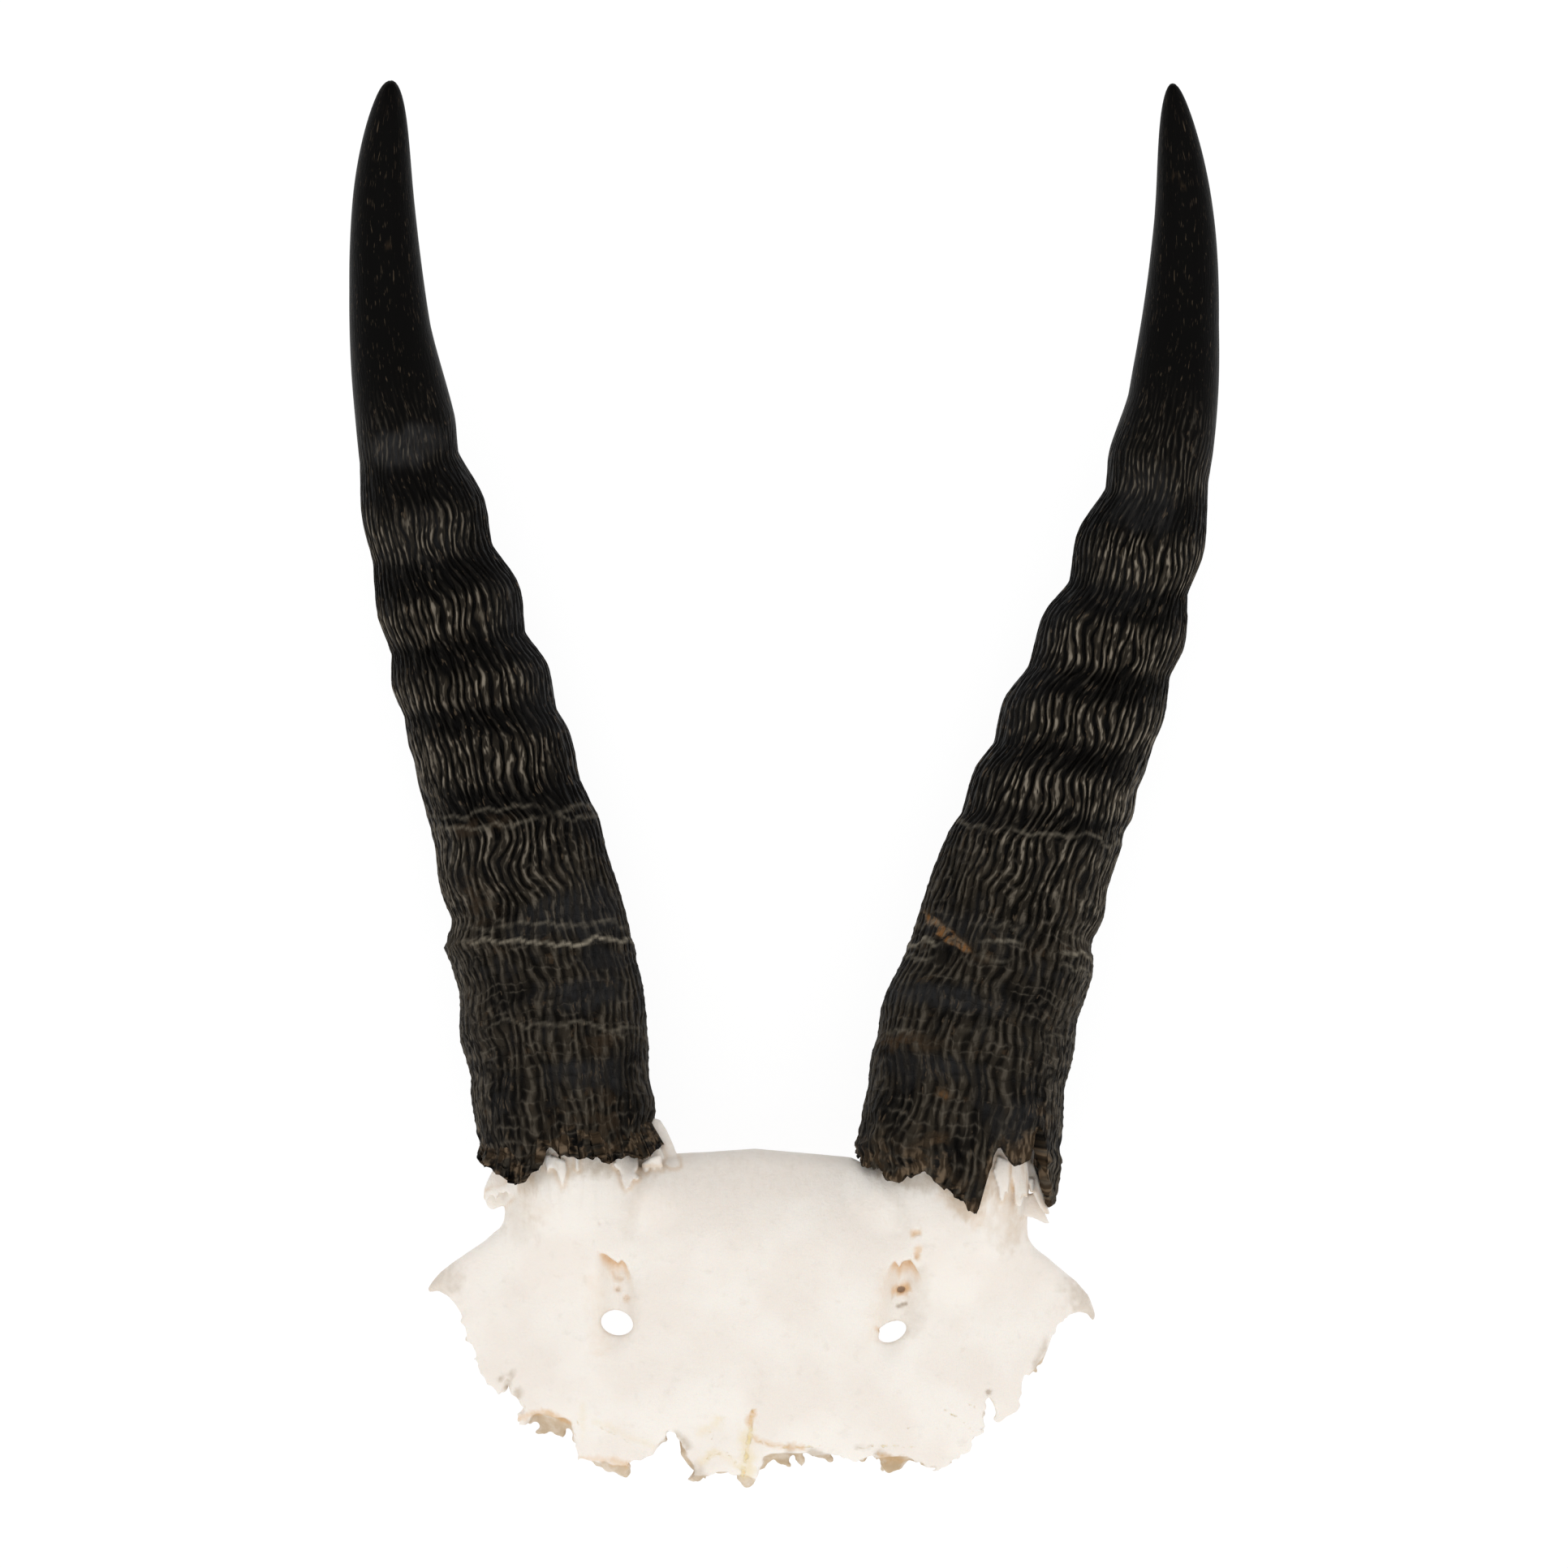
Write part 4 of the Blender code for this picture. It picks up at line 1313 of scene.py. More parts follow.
def relief_tree(pattern: KeratinPattern) -> bpy.types.NodeTree:
    """The tree that raises the surface of a sheath along its normals.

    Args:
        pattern: The grain that it follows.

    Returns:
        A tree with the sizes of each relief as named inputs, in metres.
    """
    tree = bpy.data.node_groups.new("keratin relief", "GeometryNodeTree")
    tree.interface.new_socket("Geometry", in_out="OUTPUT", socket_type="NodeSocketGeometry")
    tree.interface.new_socket("Geometry", in_out="INPUT", socket_type="NodeSocketGeometry")
    for name in ("Swell", "Strand height", "Bead height", "Course height"):
        tree.interface.new_socket(name, in_out="INPUT", socket_type="NodeSocketFloat")
    tree.interface.new_socket("Finish", in_out="INPUT", socket_type="NodeSocketMaterial")
    pen = Sketch(tree)
    given = pen.add("NodeGroupInput").outputs
    drawn = pattern.draw(pen)
    ringed, weathered, _ = pen.parts(pen.stored(Mark.ZONE, vector=True))
    outside = pen.math("LESS_THAN", pen.stored(Mark.MOUTH), 0.999)
    height = pen.plus(
        pen.times(pen.stored(Mark.SWELL), given["Swell"]),
        pen.times(pen.plus(drawn["strand"], -0.7), ringed, given["Strand height"], outside),
        pen.times(pen.plus(drawn["bead"], -0.55), ringed, given["Bead height"], outside),
        pen.times(drawn["course"], weathered, given["Course height"], outside),
    )
    scale = pen.add("ShaderNodeVectorMath", operation="SCALE")
    pen.feed(scale.inputs[0], pen.add("GeometryNodeInputNormal").outputs[0])
    pen.feed(scale.inputs["Scale"], height)
    moved = pen.add("GeometryNodeSetPosition")
    pen.feed(moved.inputs["Geometry"], given["Geometry"])
    pen.feed(moved.inputs["Offset"], scale.outputs[0])
    real = pen.add("GeometryNodeRealizeInstances")
    pen.feed(real.inputs[0], moved.outputs[0])
    painted = pen.add("GeometryNodeSetMaterial")
    pen.feed(painted.inputs["Geometry"], real.outputs[0])
    pen.feed(painted.inputs["Material"], given["Finish"])
    pen.feed(pen.add("NodeGroupOutput").inputs[0], painted.outputs[0])
    return tree


@dataclass(frozen=True)
class Stretch:
    """A stretch of the plate's outline from above, and how it ends."""

    edge: Edge
    points: Points


OUTLINE = (
    Stretch(Edge.WORN, (
        (-41.9, -64.5), (-41.9, -66.4), (-42.6, -67.9), (-44.1, -69.1), (-46.8, -71.0),
        (-49.1, -72.5), (-51.4, -74.1), (-53.3, -75.6), (-54.6, -77.1), (-55.4, -78.3),
        (-55.0, -78.9), (-53.6, -78.6), (-52.1, -79.3), (-51.0, -80.4), (-50.0, -81.9),
    )),
    Stretch(Edge.BROKEN, (
        (-49.6, -83.6), (-49.3, -85.6), (-48.1, -87.1), (-47.5, -88.6), (-46.8, -90.5),
        (-45.6, -92.5), (-43.9, -94.1), (-43.1, -93.3), (-42.4, -92.1), (-42.0, -93.4),
        (-41.3, -94.8), (-40.3, -96.5), (-40.9, -97.3), (-41.1, -98.4), (-40.1, -98.8),
        (-38.0, -98.4), (-38.0, -99.9), (-36.1, -100.3), (-34.9, -100.2), (-34.0, -101.0),
        (-33.2, -99.5), (-32.6, -100.3), (-32.0, -102.4), (-31.5, -103.8), (-29.4, -104.3),
        (-28.0, -105.5), (-25.8, -105.8), (-24.4, -106.8), (-23.8, -106.4), (-24.0, -104.3),
        (-22.3, -103.8), (-20.6, -103.1), (-19.6, -102.0), (-18.3, -100.7), (-17.9, -99.3),
        (-16.5, -99.3), (-16.2, -101.3), (-15.8, -103.1), (-14.8, -104.7), (-13.9, -105.3),
        (-14.3, -107.0), (-13.1, -107.4), (-12.3, -106.8), (-11.2, -106.0), (-8.5, -105.8),
        (-7.0, -106.6), (-6.4, -107.9), (-5.4, -108.3), (-4.7, -107.6), (-3.9, -105.5),
        (-2.8, -104.7), (-1.6, -103.9), (-1.3, -104.6), (0.7, -104.9), (1.4, -103.5),
        (2.6, -105.3), (3.3, -105.4), (3.3, -103.1), (5.6, -104.1), (7.2, -104.1),
        (7.4, -102.8), (10.6, -103.9), (12.4, -104.1), (12.8, -103.0), (14.5, -103.3),
        (14.8, -104.3), (15.4, -106.0), (16.4, -106.4), (18.3, -105.8), (18.5, -104.7),
        (19.4, -104.1), (21.0, -104.1), (21.9, -105.3), (23.6, -105.5), (25.6, -104.7),
        (28.3, -102.9), (29.4, -101.2), (30.7, -98.9), (30.9, -97.4), (30.8, -95.9),
        (31.0, -94.7), (31.7, -94.0), (32.3, -95.1), (32.4, -97.8), (33.0, -98.4),
        (33.8, -97.4), (35.1, -97.2), (36.3, -95.9), (36.5, -94.3), (36.4, -92.8),
        (37.4, -91.3), (38.2, -90.7), (39.1, -90.9), (39.5, -89.8), (40.3, -88.4),
        (40.9, -87.1), (41.8, -85.1), (42.8, -83.4),
    )),
    Stretch(Edge.WORN, (
        (44.3, -82.3), (45.8, -81.9), (47.0, -82.3), (47.8, -83.4), (48.5, -83.4),
        (48.5, -82.1), (47.4, -79.4), (45.4, -77.1), (43.1, -75.2), (40.9, -73.3),
        (38.6, -71.6), (37.2, -70.3), (36.6, -68.7), (36.3, -67.0), (31.0, -65.6),
        (20.0, -63.0), (16.0, -59.2), (12.4, -58.6), (10.4, -57.6), (5.0, -57.1),
        (-4.5, -56.3), (-12.0, -56.8), (-16.6, -57.0), (-19.0, -57.8), (-22.8, -58.6),
        (-27.0, -61.8), (-36.0, -62.8),
    )),
)


@dataclass(frozen=True)
class Groove:
    """A groove of the brow that runs up under a torn lip of bone, with its hole.

    course lists (y, x, half width) along it.  lip lists (x, y) along the torn edge.  The hole
    has a place, two radii and a turn in degrees.
    """

    course: Points
    lip: Points
    depth: float
    hole: tuple[float, float]
    hole_radii: tuple[float, float]
    hole_turn: float


@dataclass(frozen=True)
class Pit:
    """A small hole into the bone: its place, radii, turn in degrees and depth."""

    place: tuple[float, float]
    radii: tuple[float, float]
    turn: float
    depth: float


@dataclass(frozen=True)
class Ledge:
    """A place at the broken edge where the outer layer is gone: a strip, and its drop."""

    start: tuple[float, float]
    end: tuple[float, float]
    radius: float
    drop: float


@dataclass(frozen=True)
class Flake:
    """A torn flake that still lies on the bone: its outline from above and its thickness."""

    outline: Points
    thickness: float


@dataclass(frozen=True)
class Shard(Flake):
    """A flake that stands off the bone: its middle goes through a place, with slopes to x and y."""

    place: tuple[float, float, float]
    slopes: tuple[float, float]


@dataclass(frozen=True)
class Suture:
    """A line where bones meet, or a crack: its course and how strongly it shows."""

    points: Points
    strength: float


@dataclass(frozen=True)
class Stroke:
    """A soft stroke of colour along a course of (x, y): its half width and its strength."""

    tint: Tint
    points: Points
    radius: float
    strength: float


GROOVES = (
    Groove(
        course=((-89.0, -26.2, 2.2), (-82.8, -25.7, 3.5), (-78.0, -25.8, 3.4), (-71.0, -26.2, 3.0)),
        lip=(
            (-29.6, -74.6), (-28.9, -71.4), (-28.2, -71.9), (-27.3, -72.2), (-26.3, -73.0),
            (-25.4, -73.6), (-24.9, -73.0), (-24.3, -73.6), (-23.4, -75.6), (-22.7, -77.4),
        ),
        depth=2.1,
        hole=(-25.65, -82.8),
        hole_radii=(2.5, 1.9),
        hole_turn=-12.0,
    ),
    Groove(
        course=((-90.0, 15.8, 2.2), (-84.2, 16.7, 3.3), (-79.0, 17.7, 3.5), (-72.0, 19.0, 3.1)),
        lip=(
            (15.0, -77.4), (16.2, -74.0), (17.0, -73.2), (17.7, -74.2), (18.2, -73.3),
            (19.4, -73.0), (20.2, -74.2), (21.4, -76.2), (22.0, -78.0),
        ),
        depth=2.1,
        hole=(16.65, -84.2),
        hole_radii=(2.3, 1.42),
        hole_turn=27.0,
    ),
)
PITS = (
    Pit((-25.2, -75.3), (1.0, 0.9), 0.0, 0.3),
    Pit((-25.5, -77.7), (0.36, 0.32), 0.0, 0.6),
    Pit((-24.2, -78.9), (0.32, 0.3), 0.0, 0.5),
    Pit((-28.3, -67.4), (0.32, 0.3), 0.0, 0.3),
    Pit((18.0, -77.7), (0.66, 0.48), 12.0, 1.4),
    Pit((18.1, -80.1), (0.8, 0.28), 22.0, 0.6),
    Pit((20.35, -68.8), (0.6, 0.42), 5.0, 0.3),
    Pit((20.35, -72.2), (0.34, 0.6), -20.0, 0.4),
    Pit((15.7, -83.2), (1.3, 0.24), 27.0, 0.9),
    Pit((31.4, -93.6), (0.4, 0.32), 0.0, 0.5),
)
FLAKES = (
    Flake((
        (-36.5, -56.6), (-33.5, -57.6), (-33.3, -59.2), (-33.5, -60.2), (-33.9, -61.5), (-34.4, -60.4),
        (-34.8, -59.3), (-35.3, -58.8), (-35.9, -58.8), (-36.2, -59.3), (-36.4, -58.7), (-36.6, -57.7),
    ), 0.7),
    Flake(((-32.0, -57.0), (-31.4, -57.2), (-31.5, -59.2), (-31.9, -58.9)), 0.6),
    Flake((
        (-26.2, -58.4), (-25.3, -56.5), (-22.6, -56.5), (-22.4, -58.8), (-22.8, -59.7), (-22.2, -60.4),
        (-22.6, -60.8), (-23.1, -60.4), (-23.7, -61.8), (-24.3, -62.1), (-24.7, -61.4), (-25.2, -59.3),
        (-25.8, -58.9),
    ), 0.8),
    Flake(((32.8, -56.9), (34.8, -57.9), (34.6, -60.4), (34.3, -62.7), (33.9, -62.4), (33.6, -63.9),
           (33.1, -63.8), (32.9, -62.1), (32.0, -59.3)), 0.7),
)
SHARDS = (
    Shard((
        (-21.9, -58.4), (-20.7, -57.4), (-18.9, -57.0), (-18.6, -58.7), (-18.9, -59.2), (-19.4, -58.8),
        (-19.9, -59.2), (-20.6, -58.9), (-21.1, -59.6), (-21.6, -59.3),
    ), 1.0, (-20.0, -58.0, 23.8), (0.0, 0.0)),
    Shard((
        (-20.4, -51.6), (-19.2, -51.7), (-18.1, -53.4), (-17.1, -55.6), (-16.4, -57.5), (-16.1, -58.7),
        (-16.6, -58.9), (-17.4, -58.9), (-18.2, -58.4), (-19.1, -57.4), (-20.3, -55.6), (-20.8, -53.0),
    ), 1.4, (-16.4, -58.5, 19.5), (0.0, -0.25)),
    Shard(
        ((-21.6, -54.8), (-19.6, -54.8), (-18.4, -57.4), (-19.0, -58.4), (-21.6, -58.4)),
        1.0, (-20.0, -57.0, 20.5), (0.0, 0.0),
    ),
    Shard((
        (-44.9, -59.6), (-45.7, -61.1), (-46.2, -62.4), (-46.3, -63.9), (-45.8, -64.4), (-45.1, -63.2),
        (-44.7, -63.3), (-44.4, -64.4), (-43.9, -63.0), (-43.5, -62.8), (-43.2, -63.2), (-42.9, -62.6),
        (-42.5, -63.0), (-41.9, -62.9), (-41.2, -61.9), (-41.2, -57.5), (-43.8, -57.5),
    ), 0.9, (-44.0, -60.0, 20.5), (0.35, 0.0)),
    Shard((
        (-46.0, -62.9), (-46.1, -64.4), (-45.7, -65.3), (-45.0, -65.7), (-44.1, -65.3), (-43.1, -65.0),
        (-42.1, -63.9), (-41.0, -62.9), (-41.0, -60.9),
    ), 0.9, (-44.0, -63.0, 18.0), (0.1, 0.0)),
    Shard((
        (34.9, -57.9), (37.5, -57.9), (37.6, -60.4), (37.4, -63.7), (36.9, -63.2), (36.4, -64.9),
        (35.9, -64.9), (35.3, -64.4), (35.4, -62.3), (34.9, -59.8),
    ), 0.9, (36.0, -60.0, 24.6), (-0.7, 0.0)),
    Shard(
        ((37.2, -60.4), (38.5, -60.7), (38.4, -62.7), (37.9, -63.0)),
        0.8, (38.0, -61.5, 22.2), (-0.6, 0.0),
    ),
    Shard((
        (37.0, -58.2), (38.4, -58.4), (39.5, -61.7), (40.4, -64.4), (40.9, -66.2), (40.4, -66.3),
        (39.5, -65.4), (39.0, -64.4), (38.2, -62.7), (37.4, -60.4),
    ), 1.0, (37.5, -61.0, 21.3), (-0.2, 0.0)),
    Shard((
        (35.6, -63.9), (38.8, -62.9), (40.9, -67.7), (40.4, -67.8), (38.5, -66.9), (36.9, -66.5),
        (36.1, -66.7),
    ), 0.9, (37.0, -65.0, 19.2), (0.0, 0.0)),
)
LEDGES = (
    Ledge((-37.6, -99.3), (-34.6, -99.7), 2.1, 2.0),
    Ledge((-28.8, -105.2), (-24.6, -106.0), 1.1, 1.2),
    Ledge((-16.8, -101.5), (-14.4, -105.6), 0.9, 2.2),
    Ledge((-13.9, -107.0), (-12.4, -107.2), 0.9, 1.0),
    Ledge((-6.9, -107.2), (-4.6, -107.6), 1.0, 1.0),
    Ledge((-1.6, -104.8), (3.4, -104.8), 1.9, 2.8),
    Ledge((5.2, -104.4), (7.4, -104.4), 1.3, 2.8),
    Ledge((15.2, -106.2), (18.2, -106.0), 2.4, 3.6),
    Ledge((-50.8, -84.4), (-47.6, -91.6), 0.7, 0.8),
    Ledge((41.6, -87.6), (37.8, -92.2), 0.7, 0.9),
)
SUTURES = (
    Suture((
        (-4.8, -96.2), (-5.0, -98.1), (-5.3, -100.0), (-5.6, -101.9), (-6.0, -104.4), (-6.4, -106.3),
    ), 1.0),
    Suture(((-11.8, -103.6), (-9.1, -102.4), (-6.8, -104.9)), 0.7),
    Suture(((-4.9, -100.3), (-2.0, -101.6), (2.4, -101.8), (7.0, -101.6)), 0.6),
    Suture(((-12.6, -98.4), (-10.8, -99.8), (-11.6, -103.6)), 0.5),
    Suture(((-29.1, -98.3), (-26.0, -99.9), (-22.9, -101.5)), 0.45),
    Suture(((-32.0, -96.4), (-31.6, -98.6)), 0.35),
    Suture(((-41.0, -94.9), (-38.6, -97.0), (-35.6, -97.3), (-32.9, -98.9), (-31.6, -101.0)), 0.45),
    Suture(((24.3, -96.1), (26.8, -97.5), (29.1, -99.6)), 0.45),
    Suture(((28.1, -95.1), (29.4, -95.9), (30.6, -97.5)), 0.45),
    Suture(((16.5, -99.1), (20.5, -98.8), (24.6, -99.1)), 0.35),
    Suture(((11.0, -101.9), (15.5, -101.6), (20.0, -102.0)), 0.6),
    Suture(((-4.3, -73.3), (-4.8, -80.0), (-4.6, -87.0), (-4.9, -96.2)), 0.2),
)
STROKES = (
    # Painted shade on the two walls of the left groove.
    Stroke(Tint.AMBER, ((-29.0, -76.0), (-28.8, -80.4), (-27.8, -87.0)), 1.4, 0.12),
    Stroke(Tint.SHADE, ((-23.6, -75.6), (-22.9, -79.5), (-22.9, -82.6)), 0.9, 0.14),
    Stroke(Tint.AMBER, ((-26.4, -74.6), (-25.9, -76.0), (-25.1, -76.0)), 0.45, 0.3),
    Stroke(Tint.AMBER, ((-25.6, -77.7), (-25.4, -77.7)), 0.5, 0.35),
    Stroke(Tint.AMBER, ((-24.3, -78.9), (-24.1, -78.9)), 0.45, 0.35),
    Stroke(Tint.SHADE, ((-28.4, -67.4), (-28.2, -67.5)), 0.3, 0.3),
    Stroke(Tint.SHADE, ((-29.4, -70.1), (-29.2, -70.2)), 0.25, 0.25),
    Stroke(Tint.AMBER, ((20.7, -71.4), (20.3, -72.6)), 0.5, 0.6),
    Stroke(Tint.AMBER, ((19.9, -68.8), (20.7, -68.7)), 0.5, 0.6),
    Stroke(Tint.SHADE, ((20.4, -66.8), (20.8, -66.7)), 0.5, 0.1),
    Stroke(Tint.AMBER, ((17.6, -77.8), (18.4, -77.6)), 0.8, 0.75),
    Stroke(Tint.SHADE, ((17.8, -77.7), (18.2, -77.7)), 0.36, 0.6),
    Stroke(Tint.SHADE, ((16.5, -78.9), (16.7, -78.9)), 0.22, 0.35),
    Stroke(Tint.SHADE, ((17.4, -80.3), (18.8, -79.8)), 0.28, 0.6),
    Stroke(Tint.AMBER, ((14.1, -83.3), (14.4, -83.7)), 0.35, 0.5),
    # Painted shade: the dark inner wall at the edge of the right brow hole.
    Stroke(Tint.SHADE, ((14.7, -83.8), (17.0, -82.6)), 0.25, 0.8),
    # Painted shade in a small notch of the right edge.
    Stroke(Tint.SHADE, ((31.3, -93.6), (31.6, -93.6)), 0.35, 0.5),
    # Painted shade on the two walls of the right groove.
    Stroke(Tint.AMBER, ((16.0, -75.6), (14.8, -80.0), (13.8, -84.5)), 1.4, 0.12),
    Stroke(Tint.SHADE, ((20.8, -75.2), (21.2, -78.6), (19.8, -84.0)), 1.4, 0.16),
    # Painted shade: the wing tips are darker where they fall away.
    Stroke(Tint.SHADE, ((-55.0, -78.5), (-52.0, -76.8)), 2.2, 0.36),
    Stroke(Tint.SHADE, ((48.0, -82.8), (45.6, -78.4)), 2.2, 0.4),
    Stroke(Tint.AMBER, ((-4.8, -96.3), (-5.2, -98.1)), 0.45, 0.85),
    Stroke(Tint.STRAW, ((-5.6, -99.5), (-5.8, -105.8)), 1.0, 0.6),
    Stroke(Tint.STRAW, ((-12.6, -103.9), (-10.6, -102.4), (-6.9, -105.0)), 0.55, 0.45),
    Stroke(Tint.STRAW, ((-12.4, -99.4), (-10.4, -97.8)), 0.8, 0.4),
    Stroke(Tint.SHADE, ((-16.3, -99.8), (-14.8, -101.8)), 0.6, 0.55),
    Stroke(Tint.SHADE, ((-14.0, -105.3), (-12.4, -107.1)), 1.0, 0.45),
    Stroke(Tint.AMBER, ((-4.6, -100.6), (-1.0, -101.6), (3.0, -102.0)), 0.35, 0.6),
    Stroke(Tint.SHADE, ((-0.6, -104.0), (0.4, -104.0)), 0.6, 0.6),
    Stroke(Tint.SHADE, ((0.7, -102.4), (2.8, -105.2)), 0.8, 0.5),
    Stroke(Tint.SHADE, ((4.2, -102.6), (7.0, -103.8)), 0.7, 0.5),
    Stroke(Tint.SHADE, ((11.2, -101.8), (13.2, -101.8)), 0.35, 0.6),
    Stroke(Tint.SHADE, ((15.2, -104.4), (18.2, -105.8)), 1.5, 0.8),
    Stroke(Tint.AMBER, ((14.9, -103.6), (18.6, -104.2)), 0.6, 0.6),
    Stroke(Tint.AMBER, ((-40.9, -97.9), (-38.6, -96.8), (-36.4, -96.7), (-32.9, -98.3)), 0.4, 0.6),
    Stroke(Tint.SHADE, ((-38.4, -98.9), (-34.0, -100.4)), 1.2, 0.4),
    # Painted shade in the small notches of the left broken edge.
    Stroke(Tint.SHADE, ((-43.9, -91.8), (-43.4, -91.2)), 0.45, 0.6),
    Stroke(Tint.SHADE, ((-42.1, -91.3), (-41.8, -90.7)), 0.4, 0.5),
    Stroke(Tint.SHADE, ((-42.7, -93.4), (-42.4, -92.2)), 0.5, 0.5),
    Stroke(Tint.SHADE, ((-41.2, -94.3), (-40.9, -93.6)), 0.45, 0.5),
    Stroke(Tint.STRAW, ((-30.9, -95.3), (-30.9, -100.6)), 0.4, 0.22),
    Stroke(Tint.STRAW, ((-29.1, -97.9), (-24.5, -99.8), (-20.0, -101.8)), 0.4, 0.22),
    Stroke(Tint.AMBER, ((-31.0, -103.7), (-27.5, -103.9), (-23.9, -104.2)), 0.35, 0.4),
    Stroke(Tint.AMBER, ((-26.5, -104.2), (-24.3, -104.6)), 0.55, 0.6),
    # Painted shade in the notches of the right edge.
    Stroke(Tint.SHADE, ((38.8, -90.2), (40.4, -86.2)), 0.5, 0.4),
    # Painted shadow: soft brown contact shade just under both sheath rims.
    Stroke(Tint.SHADE, (
        (-44.0, -59.4), (-40.0, -61.4), (-34.0, -58.8), (-22.0, -58.8), (-19.0, -58.4),
    ), 1.3, 0.5),
    Stroke(Tint.SHADE, ((15.5, -59.5), (21.0, -61.4), (24.0, -60.2), (28.0, -65.4), (31.0, -62.0)), 1.3, 0.5),
    Stroke(Tint.SHADE, ((31.0, -59.0), (36.0, -60.0), (39.0, -62.5)), 2.0, 0.45),
    # Painted shade: the necks darken towards their outer edges.
    Stroke(Tint.SHADE, ((-41.0, -62.5), (-40.4, -68.0)), 2.4, 0.2),
    Stroke(Tint.AMBER, ((-40.4, -61.5), (-38.0, -66.0)), 2.0, 0.1),
    Stroke(Tint.SHADE, ((35.4, -64.0), (35.2, -68.5)), 2.8, 0.24),
    Stroke(Tint.AMBER, ((33.0, -63.0), (35.0, -68.0)), 2.4, 0.14),
    # Painted shadow: warm shade under the right rim's tooth and beside the left rim.
    Stroke(Tint.AMBER, ((24.5, -62.8), (29.5, -66.8), (31.2, -61.5)), 1.1, 0.22),
    Stroke(Tint.AMBER, ((-42.0, -60.5), (-37.5, -58.5)), 1.0, 0.3),
    # Painted shade on the inner flanks of the necks.
    Stroke(Tint.SHADE, ((-22.0, -60.0), (-24.0, -68.0)), 1.4, 0.12),
    Stroke(Tint.SHADE, ((16.5, -61.0), (18.5, -68.0)), 1.4, 0.14),
    # Painted shadow in the gap between a flake and a shard on the right neck.
    Stroke(Tint.AMBER, ((35.0, -58.5), (35.0, -62.5)), 0.3, 0.6),
)


def polygon_distance(x: np.ndarray, y: np.ndarray, corners: np.ndarray) -> np.ndarray:
    """The distance to a closed outline, below 0 inside it.

    Args:
        x: Where the distance is read.
        y: Likewise.
        corners: The outline's corners, in order.

    Returns:
        The distance at each place.
    """
    x, y = np.broadcast_arrays(x, y)
    nearest = np.full(x.shape, np.inf)
    inside = np.zeros(x.shape, bool)
    for (start_x, start_y), (end_x, end_y) in zip(corners, np.roll(corners, -1, axis=0)):
        nearest = np.minimum(nearest, segment_distance(x, y, (start_x, start_y), (end_x, end_y)))
        rise = end_y - start_y
        crossing = (y - start_y) * (end_x - start_x) / (rise if rise else 1.0) + start_x
        inside ^= ((start_y > y) != (end_y > y)) & (x < crossing)
    return np.where(inside, -nearest, nearest)


def segment_distance(x: np.ndarray, y: np.ndarray, start: tuple, end: tuple) -> np.ndarray:
    """The distance to the straight line between two places."""
    run_x, run_y = end[0] - start[0], end[1] - start[1]
    share = ((x - start[0]) * run_x + (y - start[1]) * run_y) / max(run_x**2 + run_y**2, 1e-9)
    share = np.clip(share, 0.0, 1.0)
    return np.hypot(x - start[0] - share * run_x, y - start[1] - share * run_y)


def turned(x: np.ndarray, y: np.ndarray, place: tuple, degrees: float) -> tuple[np.ndarray, np.ndarray]:
    """Coordinates from a place, along axes that are turned.

    Args:
        x: The points' own x.
        y: Likewise.
        place: Where the turned axes start.
        degrees: How far they are turned, anticlockwise.

    Returns:
        The two turned coordinates.
    """
    turn = math.radians(degrees)
    right, up = x - place[0], y - place[1]
    return right * math.cos(turn) + up * math.sin(turn), -right * math.sin(turn) + up * math.cos(turn)


def course_distance(x: np.ndarray, y: np.ndarray, points: Points) -> np.ndarray:
    """The distance to an open course through some places."""
    return np.min([segment_distance(x, y, a, b) for a, b in zip(points, points[1:])], axis=0)


def graded(spans: Points) -> np.ndarray:
    """Coordinates through spans, each of which has its start, its end and its cell."""
    runs = []
    for start, end, cell in spans:
        runs.append(np.linspace(start, end, math.ceil((end - start) / cell), endpoint=False))
    return np.concatenate(runs)


